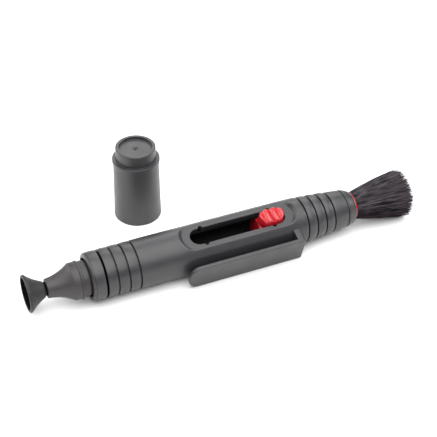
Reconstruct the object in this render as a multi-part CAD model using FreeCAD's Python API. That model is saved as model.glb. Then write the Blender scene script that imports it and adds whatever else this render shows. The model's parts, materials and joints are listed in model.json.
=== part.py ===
import FreeCAD, Part

import math
import os

# Lens cleaning pen with a flared carbon tip at one end, a retractable brush at
# the other and a loose cap that stands beside it.  Millimetres, +Z up.
# Stations along the pen are counted from the joint between collar and barrel:
# the cleaning tip is on the -X side and the brush on the +X side.  Each piece
# is then moved by -GRIP_STATION, which puts the origin on the pen's axis in
# the middle of the plain grip.  The pen lies on the plane z = -BARREL_R.

Vector = FreeCAD.Vector

# ---- driving dimensions ----
GRIP_STATION = 18.0
BARREL_R = 8.0
BARREL_BORE_R = 5.45
BARREL_END = 85.3
GRIP_END = 24.5
TAPER_START = 62.2
TAPER_START_R = 7.95
TAPER_ARC_R = 170.0
GROOVE_WIDTH = 0.6
GROOVE_DEPTH = 0.5
BAND_CROWN = 0.07
TIP_GROOVES = (3.74, 7.43, 11.09)
FIRST_RIB = 69.96
RIB_PITCH = 3.4
RIB_COUNT = 4
JOINT_R = 7.1
JOINT_HALF_GAP = 0.3

PANEL_TILT = 16.5
PANEL_HEIGHT = 6.36
PANEL_FLOOR = (27.4, 65.8)
PANEL_RIM = (26.0, 67.2)
SLOT_HALF_WIDTH = 3.0
SLOT_START = 30.0
SLOT_END = 63.1
NOTCH_STATION = 34.5
BRUSH_TRAVEL = 23.8
NOTCH_R = 0.75

COLLAR_FACE = -4.5
COLLAR_LIP_R = 6.95
COLLAR_LIP_LENGTH = 0.8
COLLAR_LIP_BULGE = (0.22, 0.38)
COLLAR_RECESS_R = 6.3
COLLAR_RECESS_DEPTH = 1.4

NOSE_START = -18.2
NOSE_START_R = 3.2
NOSE_WAIST = (-13.7, 3.95)
NOSE_BULB = -9.6
NOSE_BULB_R = 6.05
SNAP_GROOVE = (-7.5, -6.8)
SNAP_GROOVE_R = 5.5
SNAP_RING_R = 6.25
NOSE_BASE_R = 5.85
SPIGOT_R = 2.6
SPIGOT_END = -9.5
STEM_R = 1.3
STEM_HEAD_R = 2.2
STEM_HEAD_LENGTH = 0.7
STEM_HEAD_END = -22.3

TIP_R = 6.1
TIP_FRONT = -24.4
TIP_PAD = (-24.25, -23.6)
TIP_PAD_R = 5.3
TIP_RIM_CHAMFER = 0.2
TIP_RIM_THICKNESS = 0.8
TIP_WAIST = (-21.4, 4.22)
TIP_NECK = -18.6
TIP_NECK_R = 2.65
TIP_FOOT_R = 2.15

PLUG_END = 14.0
PLUG_CORE_R = 3.6
PLUG_FLOOR = 2.0

SLEEVE_START = 16.0
SLEEVE_END = 79.5
SLEEVE_BORE_R = 4.85
SLEEVE_SLOT_HALF_WIDTH = 2.3
SLEEVE_SLOT = (29.0, 62.6)

RING_START = 80.0
RING_HEAD_START = 85.7
RING_END = 88.9
RING_NECK_R = 6.0
RING_BACK_R = 6.4
RING_DOME = (1.9, 5.95)
RING_LIP_R = 5.1

SLIDE_CLEARANCE = 0.08
SLIDER_R = SLEEVE_BORE_R - SLIDE_CLEARANCE
SLIDER_START = 53.9
SLIDER_END = 77.0
SLIDER_BORE_R = 2.5
STEM_HALF_WIDTH = 2.15
STEM_SPAN = (53.95, 61.9)
BUTTON_SPAN = (53.95, 62.75)
BUTTON_HALF_WIDTH = 2.85
BUTTON_FLOOR = 5.55
BUTTON_CROWN = 8.36
BUTTON_GROOVES = (55.8, 58.3, 60.8)
BUTTON_GROOVE_R = 0.75
BUTTON_GROOVE_DEPTH = 0.5
BUTTON_PEG = (4.0, 2.4, 0.5)

HOLDER_END = 89.4
HOLDER_PEG_START = 71.0
SOCKET_START = 79.5
SOCKET_R = 4.45
KNOT_END = 84.0
BRISTLE_CLEARANCE = 0.05
BRUSH_END = 109.6
BRUSH_END_R = 8.6
BRUSH_CORNER = 1.0
BRUSH_DOME = 0.5
BRUSH_FLARE = (98.0, 6.6)
BRUSH_STRAIGHT = 0.3
TABLE_CLEARANCE = 0.05

SPRING_SPAN = (58.0, 66.0)
SPRING_WIDTH = 2.5
SPRING_THICKNESS = 0.2
SPRING_POCKET_DEPTH = 1.0
SPRING_SIDE_CLEARANCE = 0.1

CLIP_START = 26.2
CLIP_ROOT_START = 64.0
CLIP_ROOT_END = 66.4
CLIP_INNER = 9.85
CLIP_OUTER = 11.2
CLIP_HALF_WIDTH = 4.95
CLIP_CORNER_R = 3.6
CLIP_SEAT = 6.4
CLIP_BEAD_STATION = 31.0
CLIP_BEAD_R = 2.2
CLIP_BEAD_RISE = 1.45

CAP_CENTRE = (25.3, 34.5)
CAP_OPEN_R = 8.05
CAP_TOP_R = 7.7
CAP_BORE_R = 6.9
CAP_SHELL_HEIGHT = 21.9
CAP_FOOT_CHAMFER = 0.15
CAP_FLANGE_HEIGHT = 23.2
CAP_FLANGE_R = 8.0
CAP_BOSS_R = 6.75
CAP_BOSS_HEIGHT = 27.65
CAP_BOSS_CHAMFER = 0.4
CAP_BOSS_DISH_R = 5.5
CAP_BOSS_DISH_DEPTH = 0.9
CAP_GATE_R = 0.55
CAP_GATE_RISE = 0.2
CAP_LINER = (0.8, 9.0)
CAP_LINER_BORE_R = 6.3
CAP_PAD_R = 6.4
CAP_PAD_BOTTOM = 19.6
CAP_SKIRT_BOTTOM = 20.2

X_AXIS = Vector(1, 0, 0)
Z_AXIS = Vector(0, 0, 1)
ORIGIN = Vector(0, 0, 0)


# ---- helpers ----
def turned(*outline):
    """Turn a closed outline of (station, radius) points about the pen's axis.

    A point of four numbers is an arc: its middle point, then its end point.
    """
    return revolved(outline, lambda along, radius: Vector(along, 0, radius), X_AXIS)


def upright(*outline):
    """Turn a closed outline of (height, radius) points about the Z axis."""
    return revolved(outline, lambda along, radius: Vector(radius, 0, along), Z_AXIS)


def revolved(outline, place, axis):
    """Turn an outline about an axis, once its points are placed in a plane with it."""
    edges = []
    here = place(*outline[0])
    for step in list(outline[1:]) + [outline[0]]:
        there = place(*step[-2:])
        if len(step) == 4:
            edges.append(Part.Arc(here, place(*step[:2]), there).toShape())
        else:
            edges.append(Part.LineSegment(here, there).toShape())
        here = there
    solid = Part.Face(Part.Wire(edges)).revolve(ORIGIN, axis, 360)
    return Part.Solid(solid)


def tube(start, end, outer, inner):
    """A plain tube on the pen's axis."""
    return turned((start, inner), (start, outer), (end, outer), (end, inner))


def rod(start, end, radius):
    return Part.makeCylinder(radius, end - start, Vector(start, 0, 0), X_AXIS)


def block(start, end, half_width, bottom, top):
    """A box along the pen, centred across it."""
    corner = Vector(start, -half_width, bottom)
    return Part.makeBox(end - start, 2 * half_width, top - bottom, corner)


def rounded_bar(start, end, half_width, bottom, top, corner_r=None):
    """A bar along the pen whose upright corner edges are rounded."""
    radius = half_width if corner_r is None else corner_r
    long_core = block(start + radius, end - radius, half_width, bottom, top)
    shape = long_core
    if radius < half_width:
        shape = shape.fuse(block(start, end, half_width - radius, bottom, top))
    for along in (start + radius, end - radius):
        for side in (-1, 1):
            centre = Vector(along, side * (half_width - radius), bottom)
            shape = shape.fuse(Part.makeCylinder(radius, top - bottom, centre, Z_AXIS))
    return shape.removeSplitter()


def tilted(shape, angle):
    """Turn a shape about the pen's axis, from facing up towards the -Y side."""
    copy = shape.copy()
    copy.rotate(ORIGIN, X_AXIS, angle)
    return copy


def taper_radius(station):
    """Outer radius past the taper's start, which falls away along a large arc."""
    run = station - TAPER_START
    return TAPER_START_R - TAPER_ARC_R + math.sqrt(TAPER_ARC_R ** 2 - run ** 2)


def ring_groove(station):
    """The ring of material that a groove round the tapered end takes away."""
    outer = taper_radius(station)
    half = GROOVE_WIDTH / 2
    return tube(station - half, station + half, BARREL_R, outer - GROOVE_DEPTH)


def crowned_band(start, end):
    """Outline of a slightly convex band round the barrel."""
    edge = BARREL_R - BAND_CROWN
    return [(start, edge), ((start + end) / 2, BARREL_R, end, edge)]


def grip_outline():
    """Outline from the joint over the ring grooves and their bands to the plain grip."""
    outline = [(JOINT_HALF_GAP, JOINT_R)]
    start = JOINT_HALF_GAP
    floor = BARREL_R - GROOVE_DEPTH
    for groove in TIP_GROOVES:
        end = groove - GROOVE_WIDTH / 2
        outline += crowned_band(start, end)
        start = groove + GROOVE_WIDTH / 2
        outline += [(end, floor), (start, floor)]
    return outline + [(start, BARREL_R), (GRIP_END, BARREL_R)]


def stadium_wire(start, end, half_width, height):
    """A level outline with two straight sides and two half-round ends."""
    near, far = start + half_width, end - half_width
    corners = [
        Vector(near, -half_width, height),
        Vector(far, -half_width, height),
        Vector(far, half_width, height),
        Vector(near, half_width, height),
    ]
    return Part.Wire([
        Part.LineSegment(corners[0], corners[1]).toShape(),
        Part.Arc(corners[1], Vector(end, 0, height), corners[2]).toShape(),
        Part.LineSegment(corners[2], corners[3]).toShape(),
        Part.Arc(corners[3], Vector(start, 0, height), corners[0]).toShape(),
    ])


# ---- pen body ----
def panel_recess():
    """The space over the flat slider panel, with sloping half-round ends."""
    half_width = math.sqrt(BARREL_R ** 2 - PANEL_HEIGHT ** 2)
    rise = BARREL_R - PANEL_HEIGHT
    run = PANEL_FLOOR[0] - PANEL_RIM[0]
    floor = stadium_wire(*PANEL_FLOOR, half_width, PANEL_HEIGHT)
    rim = stadium_wire(
        PANEL_RIM[0] - run, PANEL_RIM[1] + run, half_width + run, PANEL_HEIGHT + 2 * rise
    )
    return Part.makeLoft([floor, rim], True, True)


def barrel_shell():
    middle = (TAPER_START + BARREL_END) / 2
    body = turned(
        (0.0, BARREL_BORE_R),
        (0.0, JOINT_R),
        *grip_outline(),
        (TAPER_START, TAPER_START_R),
        (middle, taper_radius(middle), BARREL_END, taper_radius(BARREL_END)),
        (BARREL_END, BARREL_BORE_R),
    )
    for index in range(RIB_COUNT):
        body = body.cut(ring_groove(FIRST_RIB + RIB_PITCH * index))
    top = 2 * BARREL_R
    slot = rounded_bar(SLOT_START, SLOT_END, SLOT_HALF_WIDTH, 0.0, top)
    for station in (NOTCH_STATION, NOTCH_STATION + BRUSH_TRAVEL):
        for side in (-1, 1):
            centre = Vector(station, side * SLOT_HALF_WIDTH, 0)
            slot = slot.fuse(Part.makeCylinder(NOTCH_R, top, centre, Z_AXIS))
    body = body.cut(tilted(panel_recess(), PANEL_TILT)).cut(tilted(slot, PANEL_TILT))
    seat = block(CLIP_ROOT_START, CLIP_ROOT_END, BARREL_R, CLIP_SEAT, top)
    return body.cut(tilted(seat, PANEL_TILT + 90))


def guide_sleeve():
    """Inner sleeve whose narrower slot leaves a ledge under the barrel's slot."""
    sleeve = tube(SLEEVE_START, SLEEVE_END, BARREL_BORE_R, SLEEVE_BORE_R)
    slot = rounded_bar(*SLEEVE_SLOT, SLEEVE_SLOT_HALF_WIDTH, 0.0, BARREL_R)
    return sleeve.cut(tilted(slot, PANEL_TILT))


def mouth_ring():
    return turned(
        (RING_START, SLEEVE_BORE_R),
        (RING_START, BARREL_BORE_R),
        (BARREL_END, BARREL_BORE_R),
        (BARREL_END, RING_NECK_R),
        (RING_HEAD_START, RING_NECK_R),
        (RING_HEAD_START, RING_BACK_R),
        (RING_HEAD_START + RING_DOME[0], RING_DOME[1], RING_END, RING_LIP_R),
        (RING_END, SLEEVE_BORE_R),
    )


def tip_collar():
    floor = COLLAR_FACE + COLLAR_RECESS_DEPTH
    shoulder = COLLAR_FACE + COLLAR_LIP_LENGTH
    along, drop = COLLAR_LIP_BULGE
    return turned(
        (floor, BARREL_BORE_R),
        (floor, COLLAR_RECESS_R),
        (COLLAR_FACE, COLLAR_RECESS_R),
        (COLLAR_FACE, COLLAR_LIP_R),
        (COLLAR_FACE + along, BARREL_R - drop, shoulder, BARREL_R - BAND_CROWN),
        crowned_band(shoulder, -JOINT_HALF_GAP)[1],
        (-JOINT_HALF_GAP, JOINT_R),
        (0.0, JOINT_R),
        (0.0, BARREL_BORE_R),
    )


def barrel_plug():
    """Plug that closes the barrel and carries the nose on its spigot."""
    floor = COLLAR_FACE + COLLAR_RECESS_DEPTH
    plug = rod(floor, PLUG_END, BARREL_BORE_R).fuse(rod(SPIGOT_END, floor, SPIGOT_R))
    return plug.cut(rod(PLUG_FLOOR, PLUG_END, PLUG_CORE_R))


def nose_cone():
    base = COLLAR_FACE + COLLAR_RECESS_DEPTH
    return turned(
        (NOSE_START, STEM_R),
        (NOSE_START, NOSE_START_R),
        (*NOSE_WAIST, NOSE_BULB, NOSE_BULB_R),
        (SNAP_GROOVE[0], NOSE_BULB_R),
        (SNAP_GROOVE[0], SNAP_GROOVE_R),
        (SNAP_GROOVE[1], SNAP_GROOVE_R),
        (SNAP_GROOVE[1], NOSE_BASE_R),
        (base, NOSE_BASE_R),
        (base, SPIGOT_R),
        (SPIGOT_END, SPIGOT_R),
        (SPIGOT_END, STEM_R),
    )


def cap_snap_ring():
    return tube(*SNAP_GROOVE, SNAP_RING_R, SNAP_GROOVE_R)


def tip_stem():
    head = rod(STEM_HEAD_END - STEM_HEAD_LENGTH, STEM_HEAD_END, STEM_HEAD_R)
    return head.fuse(rod(STEM_HEAD_END, SPIGOT_END, STEM_R))


def cleaning_tip():
    """Rubber bell moulded over the stem's head, with a pocket for the pad in its face."""
    bell = turned(
        (TIP_PAD[1], 0.0),
        (TIP_PAD[1], TIP_PAD_R),
        (TIP_FRONT, TIP_PAD_R),
        (TIP_FRONT, TIP_R - TIP_RIM_CHAMFER),
        (TIP_FRONT + TIP_RIM_CHAMFER, TIP_R),
        (TIP_FRONT + TIP_RIM_THICKNESS, TIP_R),
        (*TIP_WAIST, TIP_NECK, TIP_NECK_R),
        (NOSE_START, TIP_FOOT_R),
        (NOSE_START, 0.0),
    )
    return bell.cut(tip_stem())


def tip_pad():
    return rod(*TIP_PAD, TIP_PAD_R)


def clip_root():
    root = block(CLIP_ROOT_START, CLIP_ROOT_END, CLIP_HALF_WIDTH, CLIP_SEAT, CLIP_OUTER)
    return tilted(root, PANEL_TILT + 90)


# ---- clip arm ----
def clip_arm():
    arm = rounded_bar(
        CLIP_START,
        CLIP_ROOT_START + CLIP_CORNER_R,
        CLIP_HALF_WIDTH,
        CLIP_INNER,
        CLIP_OUTER,
        CLIP_CORNER_R,
    )
    cut_end = CLIP_ROOT_START + 2 * CLIP_CORNER_R
    arm = arm.cut(block(CLIP_ROOT_START, cut_end, BARREL_R, 0.0, 2 * CLIP_OUTER))
    centre_height = CLIP_INNER + CLIP_BEAD_R - CLIP_BEAD_RISE
    bead = Part.makeCylinder(
        CLIP_BEAD_R,
        CLIP_HALF_WIDTH,
        Vector(CLIP_BEAD_STATION, -CLIP_HALF_WIDTH / 2, centre_height),
        Vector(0, 1, 0),
    )
    above = block(CLIP_START, CLIP_ROOT_START, BARREL_R, CLIP_OUTER, 2 * CLIP_OUTER)
    return tilted(arm.fuse(bead.cut(above)).removeSplitter(), PANEL_TILT + 90)


# ---- brush slider ----
def spring_pocket():
    top = -SLIDER_R + SPRING_POCKET_DEPTH
    half_width = SPRING_WIDTH / 2 + SPRING_SIDE_CLEARANCE
    return block(*SPRING_SPAN, half_width, -BARREL_R, top)


def button_peg():
    """The stem's peg, which the button is pressed onto."""
    length, width, height = BUTTON_PEG
    middle = sum(STEM_SPAN) / 2
    start, end = middle - length / 2, middle + length / 2
    return block(start, end, width / 2, BUTTON_FLOOR, BUTTON_FLOOR + height)


def brush_carriage():
    body = rod(SLIDER_START, SLIDER_END, SLIDER_R)
    stem = rounded_bar(*STEM_SPAN, STEM_HALF_WIDTH, 0.0, BUTTON_FLOOR)
    body = body.fuse(tilted(stem.fuse(button_peg()), PANEL_TILT))
    body = body.cut(rod(HOLDER_PEG_START, SLIDER_END, SLIDER_BORE_R))
    return body.cut(tilted(spring_pocket(), PANEL_TILT))


def thumb_button():
    """Button that stands up through the slot, with three grooves across its top."""
    body = rounded_bar(*BUTTON_SPAN, BUTTON_HALF_WIDTH, BUTTON_FLOOR, BUTTON_CROWN)
    across = Vector(0, 1, 0)
    height = BUTTON_CROWN - BUTTON_GROOVE_DEPTH + BUTTON_GROOVE_R
    for station in BUTTON_GROOVES:
        corner = Vector(station, -BARREL_R, height)
        body = body.cut(Part.makeCylinder(BUTTON_GROOVE_R, 2 * BARREL_R, corner, across))
    return tilted(body.cut(button_peg()), PANEL_TILT)


def brush_holder():
    """Red tube that carries the bristles and shows as a rim in the mouth."""
    holder = rod(SLIDER_END, HOLDER_END, SLIDER_R)
    holder = holder.fuse(rod(HOLDER_PEG_START, SLIDER_END, SLIDER_BORE_R))
    return holder.cut(rod(SOCKET_START, HOLDER_END, SOCKET_R))


def bristle_knot():
    return rod(SOCKET_START, KNOT_END, SOCKET_R)


def bristles():
    root_r = SOCKET_R - BRISTLE_CLEARANCE
    tuft = turned(
        (KNOT_END, 0.0),
        (KNOT_END, root_r),
        (HOLDER_END + BRUSH_STRAIGHT, root_r),
        (*BRUSH_FLARE, BRUSH_END - BRUSH_CORNER, BRUSH_END_R),
        (BRUSH_END, BRUSH_END_R - BRUSH_CORNER),
        (BRUSH_END + BRUSH_DOME, 0.0),
    )
    table = -BARREL_R + TABLE_CLEARANCE
    return tuft.cut(block(KNOT_END, 2 * BRUSH_END, 2 * BARREL_R, 2 * table, table))


def detent_spring():
    """Bowed steel leaf in the carriage's underside, its crest towards the sleeve."""
    low = -SLIDER_R + SPRING_POCKET_DEPTH
    crest = -math.sqrt(SLIDER_R ** 2 - (SPRING_WIDTH / 2) ** 2)
    middle = sum(SPRING_SPAN) / 2
    start = Vector(SPRING_SPAN[0], 0, low)
    end = Vector(SPRING_SPAN[1], 0, low)
    lift = Vector(0, 0, -SPRING_THICKNESS)
    under = Part.Arc(start, Vector(middle, 0, crest + SPRING_THICKNESS), end).toShape()
    outer = Part.Arc(start + lift, Vector(middle, 0, crest), end + lift).toShape()
    ends = [
        Part.LineSegment(start, start + lift).toShape(),
        Part.LineSegment(end, end + lift).toShape(),
    ]
    wire = Part.Wire(Part.__sortEdges__([under, outer] + ends))
    leaf = Part.Face(wire).extrude(Vector(0, SPRING_WIDTH, 0))
    leaf.translate(Vector(0, -SPRING_WIDTH / 2, 0))
    return tilted(leaf, PANEL_TILT)


# ---- cap ----
def stand_cap(shape):
    """Move a cap piece from the Z axis to where the cap stands on the table."""
    shape.translate(Vector(CAP_CENTRE[0], CAP_CENTRE[1], -BARREL_R))
    return shape


def cap_shell():
    return stand_cap(upright(
        (0.0, CAP_BORE_R),
        (0.0, CAP_OPEN_R - CAP_FOOT_CHAMFER),
        (CAP_FOOT_CHAMFER, CAP_OPEN_R),
        (CAP_SHELL_HEIGHT, CAP_TOP_R),
        (CAP_SHELL_HEIGHT, CAP_BORE_R),
    ))


def cap_top():
    """Stepped plug that closes the cap, with a dished face and a gate mark."""
    dish = CAP_BOSS_HEIGHT - CAP_BOSS_DISH_DEPTH
    return stand_cap(upright(
        (CAP_SHELL_HEIGHT, 0.0),
        (CAP_SHELL_HEIGHT, CAP_PAD_R),
        (CAP_SKIRT_BOTTOM, CAP_PAD_R),
        (CAP_SKIRT_BOTTOM, CAP_BORE_R),
        (CAP_SHELL_HEIGHT, CAP_BORE_R),
        (CAP_SHELL_HEIGHT, CAP_FLANGE_R),
        (CAP_FLANGE_HEIGHT, CAP_FLANGE_R),
        (CAP_FLANGE_HEIGHT, CAP_BOSS_R),
        (CAP_BOSS_HEIGHT - CAP_BOSS_CHAMFER, CAP_BOSS_R),
        (CAP_BOSS_HEIGHT, CAP_BOSS_R - CAP_BOSS_CHAMFER),
        (CAP_BOSS_HEIGHT, CAP_BOSS_DISH_R),
        (dish, CAP_BOSS_DISH_R),
        (dish, CAP_GATE_R),
        (dish + CAP_GATE_RISE, CAP_GATE_R),
        (dish + CAP_GATE_RISE, 0.0),
    ))


def cap_liner():
    low, high = CAP_LINER
    return stand_cap(upright(
        (low, CAP_LINER_BORE_R), (low, CAP_BORE_R), (high, CAP_BORE_R), (high, CAP_LINER_BORE_R)
    ))


def cap_pad():
    height = CAP_SHELL_HEIGHT - CAP_PAD_BOTTOM
    return stand_cap(Part.makeCylinder(CAP_PAD_R, height, Vector(0, 0, CAP_PAD_BOTTOM), Z_AXIS))


PIECES = (
    barrel_shell,
    guide_sleeve,
    mouth_ring,
    tip_collar,
    barrel_plug,
    nose_cone,
    cap_snap_ring,
    tip_stem,
    cleaning_tip,
    tip_pad,
    clip_root,
    clip_arm,
    brush_carriage,
    thumb_button,
    brush_holder,
    bristle_knot,
    bristles,
    detent_spring,
    cap_shell,
    cap_top,
    cap_liner,
    cap_pad,
)


def main():
    os.makedirs("parts", exist_ok=True)
    for make in PIECES:
        shape = make()
        shape.translate(Vector(-GRIP_STATION, 0, 0))
        shape.exportStep(f"parts/{make.__name__}.step")
        box = shape.BoundBox
        print(
            f"{make.__name__:16s} solids {len(shape.Solids)} valid {shape.isValid()} "
            f"volume {shape.Volume:8.1f} x {box.XMin:6.2f} {box.XMax:6.2f} "
            f"y {box.YMin:6.2f} {box.YMax:6.2f} z {box.ZMin:6.2f} {box.ZMax:6.2f}"
        )


main()
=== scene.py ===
"""Lens cleaning pen with a retractable brush and a loose cap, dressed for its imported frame.

Pieces are drawn in millimetres. Along the pen they use stations, counted from the joint
between collar and barrel towards the brush; up the cap they use heights above the table.
"""
from __future__ import annotations

import json
import logging
import math
from dataclasses import dataclass, field
from enum import Enum
from functools import partial
from typing import Any, Callable, Sequence

import bmesh
import bpy
from mathutils import Matrix, Vector


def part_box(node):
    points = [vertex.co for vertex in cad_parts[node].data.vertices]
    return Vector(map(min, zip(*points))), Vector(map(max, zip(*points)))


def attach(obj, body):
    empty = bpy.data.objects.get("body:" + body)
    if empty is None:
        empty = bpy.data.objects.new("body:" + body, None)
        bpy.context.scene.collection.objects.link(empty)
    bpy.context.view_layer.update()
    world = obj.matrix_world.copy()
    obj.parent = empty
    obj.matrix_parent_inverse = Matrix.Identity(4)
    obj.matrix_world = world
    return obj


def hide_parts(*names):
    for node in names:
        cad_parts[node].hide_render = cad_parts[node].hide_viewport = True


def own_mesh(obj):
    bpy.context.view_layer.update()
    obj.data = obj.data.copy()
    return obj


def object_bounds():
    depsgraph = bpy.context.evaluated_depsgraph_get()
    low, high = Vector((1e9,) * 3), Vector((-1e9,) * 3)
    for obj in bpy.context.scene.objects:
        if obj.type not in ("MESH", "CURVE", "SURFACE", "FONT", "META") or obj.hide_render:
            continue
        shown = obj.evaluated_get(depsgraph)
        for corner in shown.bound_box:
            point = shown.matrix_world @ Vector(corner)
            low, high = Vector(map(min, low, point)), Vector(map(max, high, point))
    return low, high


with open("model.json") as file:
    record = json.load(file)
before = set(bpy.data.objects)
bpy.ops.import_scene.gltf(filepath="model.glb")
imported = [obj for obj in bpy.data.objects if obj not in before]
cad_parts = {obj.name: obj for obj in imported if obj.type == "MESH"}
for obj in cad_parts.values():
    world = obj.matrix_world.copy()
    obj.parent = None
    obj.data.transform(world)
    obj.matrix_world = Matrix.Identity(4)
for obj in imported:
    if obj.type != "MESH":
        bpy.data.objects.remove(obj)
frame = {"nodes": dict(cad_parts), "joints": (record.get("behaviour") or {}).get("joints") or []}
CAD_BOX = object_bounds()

LOG = logging.getLogger("lens_pen")
MM = 0.001
MERGE_DISTANCE = 0.002
SHARP_ANGLE = math.radians(50)
FILLET_STEP = math.radians(24)
FILLET_SHARE = 0.42
SUPPORT_SHARE = 0.6
NOISE_LOW, NOISE_HIGH = 0.3, 0.7
FINE = "_fine"
BAND_STEPS = 8
EDGE_STEPS = 4
ARC_STEPS = 20
SEGMENTS = 128
WIDE_SEGMENTS = 160
JOINT_FILLET = 0.04
# Painted shade: points deep in grooves, gaps and recesses are blended towards near-black, standing
# in for the shade that falls there.
SHADE_FROM, SHADE_RUN = 0.28, 0.15
PAINTED_SHADE = "recess"
PAINTED_SHADE_COLOUR = (0.0015, 0.0015, 0.0015, 1.0)
HAIR_SHADE = "hair_shade"
HAIR_ALONG = "hair_along"

Point = tuple[float, float]
Triple = tuple[float, float, float]
Colour = tuple[float, float, float, float]


class Body(Enum):
    """The rigid bodies that pieces ride on."""

    PEN = "pen_body"
    CLIP = "clip"
    BRUSH = "brush_slider"
    CAP = "cap"


# ---- Outlines ----
@dataclass(frozen=True)
class Corner:
    """A corner of an outline: its place along, its distance out and its rounding."""

    along: float
    out: float
    fillet: float = 0.0

    def vector(self) -> Vector:
        """The corner's place as a vector."""
        return Vector((self.along, self.out))


def arc_points(start: Point, middle: Point, end: Point, count: int) -> list[Point]:
    """Divide the arc through three points.

    Args:
        start: First point of the arc, which is left out of the result.
        middle: Any point on the arc between its ends.
        end: Last point of the arc.
        count: Number of equal steps.

    Returns:
        The points after the start, the end among them.
    """
    (ax, ay), (bx, by), (cx, cy) = start, middle, end
    twice_area = 2 * (ax * (by - cy) + bx * (cy - ay) + cx * (ay - by))
    a, b, c = ax * ax + ay * ay, bx * bx + by * by, cx * cx + cy * cy
    centre_x = (a * (by - cy) + b * (cy - ay) + c * (ay - by)) / twice_area
    centre_y = (a * (cx - bx) + b * (ax - cx) + c * (bx - ax)) / twice_area
    radius = math.hypot(ax - centre_x, ay - centre_y)
    first = math.atan2(ay - centre_y, ax - centre_x)
    span = math.remainder(math.atan2(cy - centre_y, cx - centre_x) - first, math.tau)
    angles = [first + span * step / count for step in range(1, count + 1)]
    return [
        (centre_x + radius * math.cos(t), centre_y + radius * math.sin(t)) for t in angles
    ]


def arc_corners(start: Point, middle: Point, end: Point, count: int = 12) -> list[Corner]:
    """Divide an arc into corners with no rounding, its start left out."""
    return [Corner(*point) for point in arc_points(start, middle, end, count)]


def rounded(corners: Sequence[Corner], closed: bool) -> list[Point]:
    """Round the corners of an outline.

    A further point beside each rounding keeps the straight stretch next to it flat when
    the piece is shaded smooth.

    Args:
        corners: The outline's corners in order.
        closed: Whether the last corner leads back to the first.

    Returns:
        The outline's points; a closed outline repeats its first point at the end.
    """
    points: list[Point] = []
    last = len(corners) - 1
    for index, corner in enumerate(corners):
        here = corner.vector()
        if corner.fillet <= 0 or (not closed and index in (0, last)):
            points.append(tuple(here))
            continue
        back = corners[index - 1].vector() - here
        onward = corners[(index + 1) % len(corners)].vector() - here
        half_turn = (math.pi - back.angle(onward)) / 2
        room = FILLET_SHARE * min(back.length, onward.length)
        reach = min(corner.fillet * math.tan(half_turn), room)
        radius = reach / math.tan(half_turn)
        spare = min(SUPPORT_SHARE * reach, 0.5 * (room - reach) + 1e-6)
        back.normalize()
        onward.normalize()
        centre = here + (back + onward).normalized() * math.hypot(reach, radius)
        middle = centre + (here - centre).normalized() * radius
        start, end = here + back * reach, here + onward * reach
        steps = max(2, math.ceil(2 * half_turn / FILLET_STEP))
        points.append(tuple(start + back * spare))
        points.append(tuple(start))
        points.extend(arc_points(tuple(start), tuple(middle), tuple(end), steps))
        points.append(tuple(end + onward * spare))
    if closed:
        points.append(points[0])
    return points


def stadium(
    near: float, far: float, half_width: float, ends: Sequence[float], sides: Sequence[float]
) -> list[Point]:
    """Points round an outline with two straight sides and two half-round ends.

    Args:
        near: Place of the first end's centre.
        far: Place of the second end's centre.
        half_width: Half of the outline's width, and the radius of its ends.
        ends: Angles of the points on an end, rising from -90 to 90 degrees, in radians.
        sides: Shares of the way along a side, rising, for the points between the ends.

    Returns:
        The points, round once.
    """
    first = [(near - half_width * math.cos(a), half_width * math.sin(a)) for a in ends]
    second = [(far + half_width * math.cos(a), half_width * math.sin(a)) for a in ends]
    side = [near + (far - near) * share for share in sides]
    out = [(x, half_width) for x in side]
    home = [(x, -half_width) for x in side]
    return first + out + second[::-1] + home[::-1]


def evenly(start: float, end: float, count: int) -> list[float]:
    """Divide a stretch into equal steps, both ends among the result."""
    return [start + (end - start) * step / count for step in range(count + 1)]


def mixed(start: Point, end: Point, share: float) -> Point:
    """A point part of the way between two."""
    return tuple(a + (b - a) * share for a, b in zip(start, end))


# ---- Meshes and node trees ----
class Skin:
    """Collects the faces of one mesh."""

    def __init__(self) -> None:
        """Start with no faces."""
        self.points: list[Triple] = []
        self.faces: list[list[int]] = []

    def strip(self, loops: Sequence[Sequence[Triple]], closed: bool = True) -> None:
        """Add four-sided faces between each loop and the next.

        Args:
            loops: Rows of points, all of one length.
            closed: Whether each row's end joins its start.
        """
        width = len(loops[0])
        base = len(self.points)
        for loop in loops:
            self.points.extend(loop)
        for row in range(len(loops) - 1):
            low, high = base + row * width, base + (row + 1) * width
            for column in range(width if closed else width - 1):
                after = (column + 1) % width
                self.faces.append([low + column, low + after, high + after, high + column])

    def lid(self, loop: Sequence[Triple]) -> None:
        """Close a loop with one flat face.

        Args:
            loop: The loop's points in order.
        """
        base = len(self.points)
        self.points.extend(loop)
        self.faces.append(list(range(base, base + len(loop))))

    def mesh(self, name: str) -> bpy.types.Mesh:
        """Join the faces into a mesh whose faces point outwards.

        Args:
            name: Name of the mesh.

        Returns:
            The mesh, still in millimetres.
        """
        mesh = bpy.data.meshes.new(name)
        mesh.from_pydata(self.points, [], self.faces)
        work = bmesh.new()
        work.from_mesh(mesh)
        bmesh.ops.remove_doubles(work, verts=work.verts, dist=MERGE_DISTANCE)
        bmesh.ops.dissolve_degenerate(work, edges=work.edges, dist=MERGE_DISTANCE / 2)
        bmesh.ops.recalc_face_normals(work, faces=work.faces)
        work.to_mesh(mesh)
        work.free()
        return mesh


def mark_painted_shade(mesh: bpy.types.Mesh, painted_shade_of: Callable[[Vector], float]) -> None:
    """Store how far each point of a mesh lies in a groove or a gap, as the share of painted shade
    it gets.

    Args:
        mesh: The mesh, still in millimetres.
        painted_shade_of: Gives 0 on the open outside and 1 or more deep in a groove.
    """
    shares = [min(max(painted_shade_of(point.co), 0.0), 1.0) for point in mesh.vertices]
    layer = mesh.attributes.new(PAINTED_SHADE, "FLOAT", "POINT")
    layer.data.foreach_set("value", shares)


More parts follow.
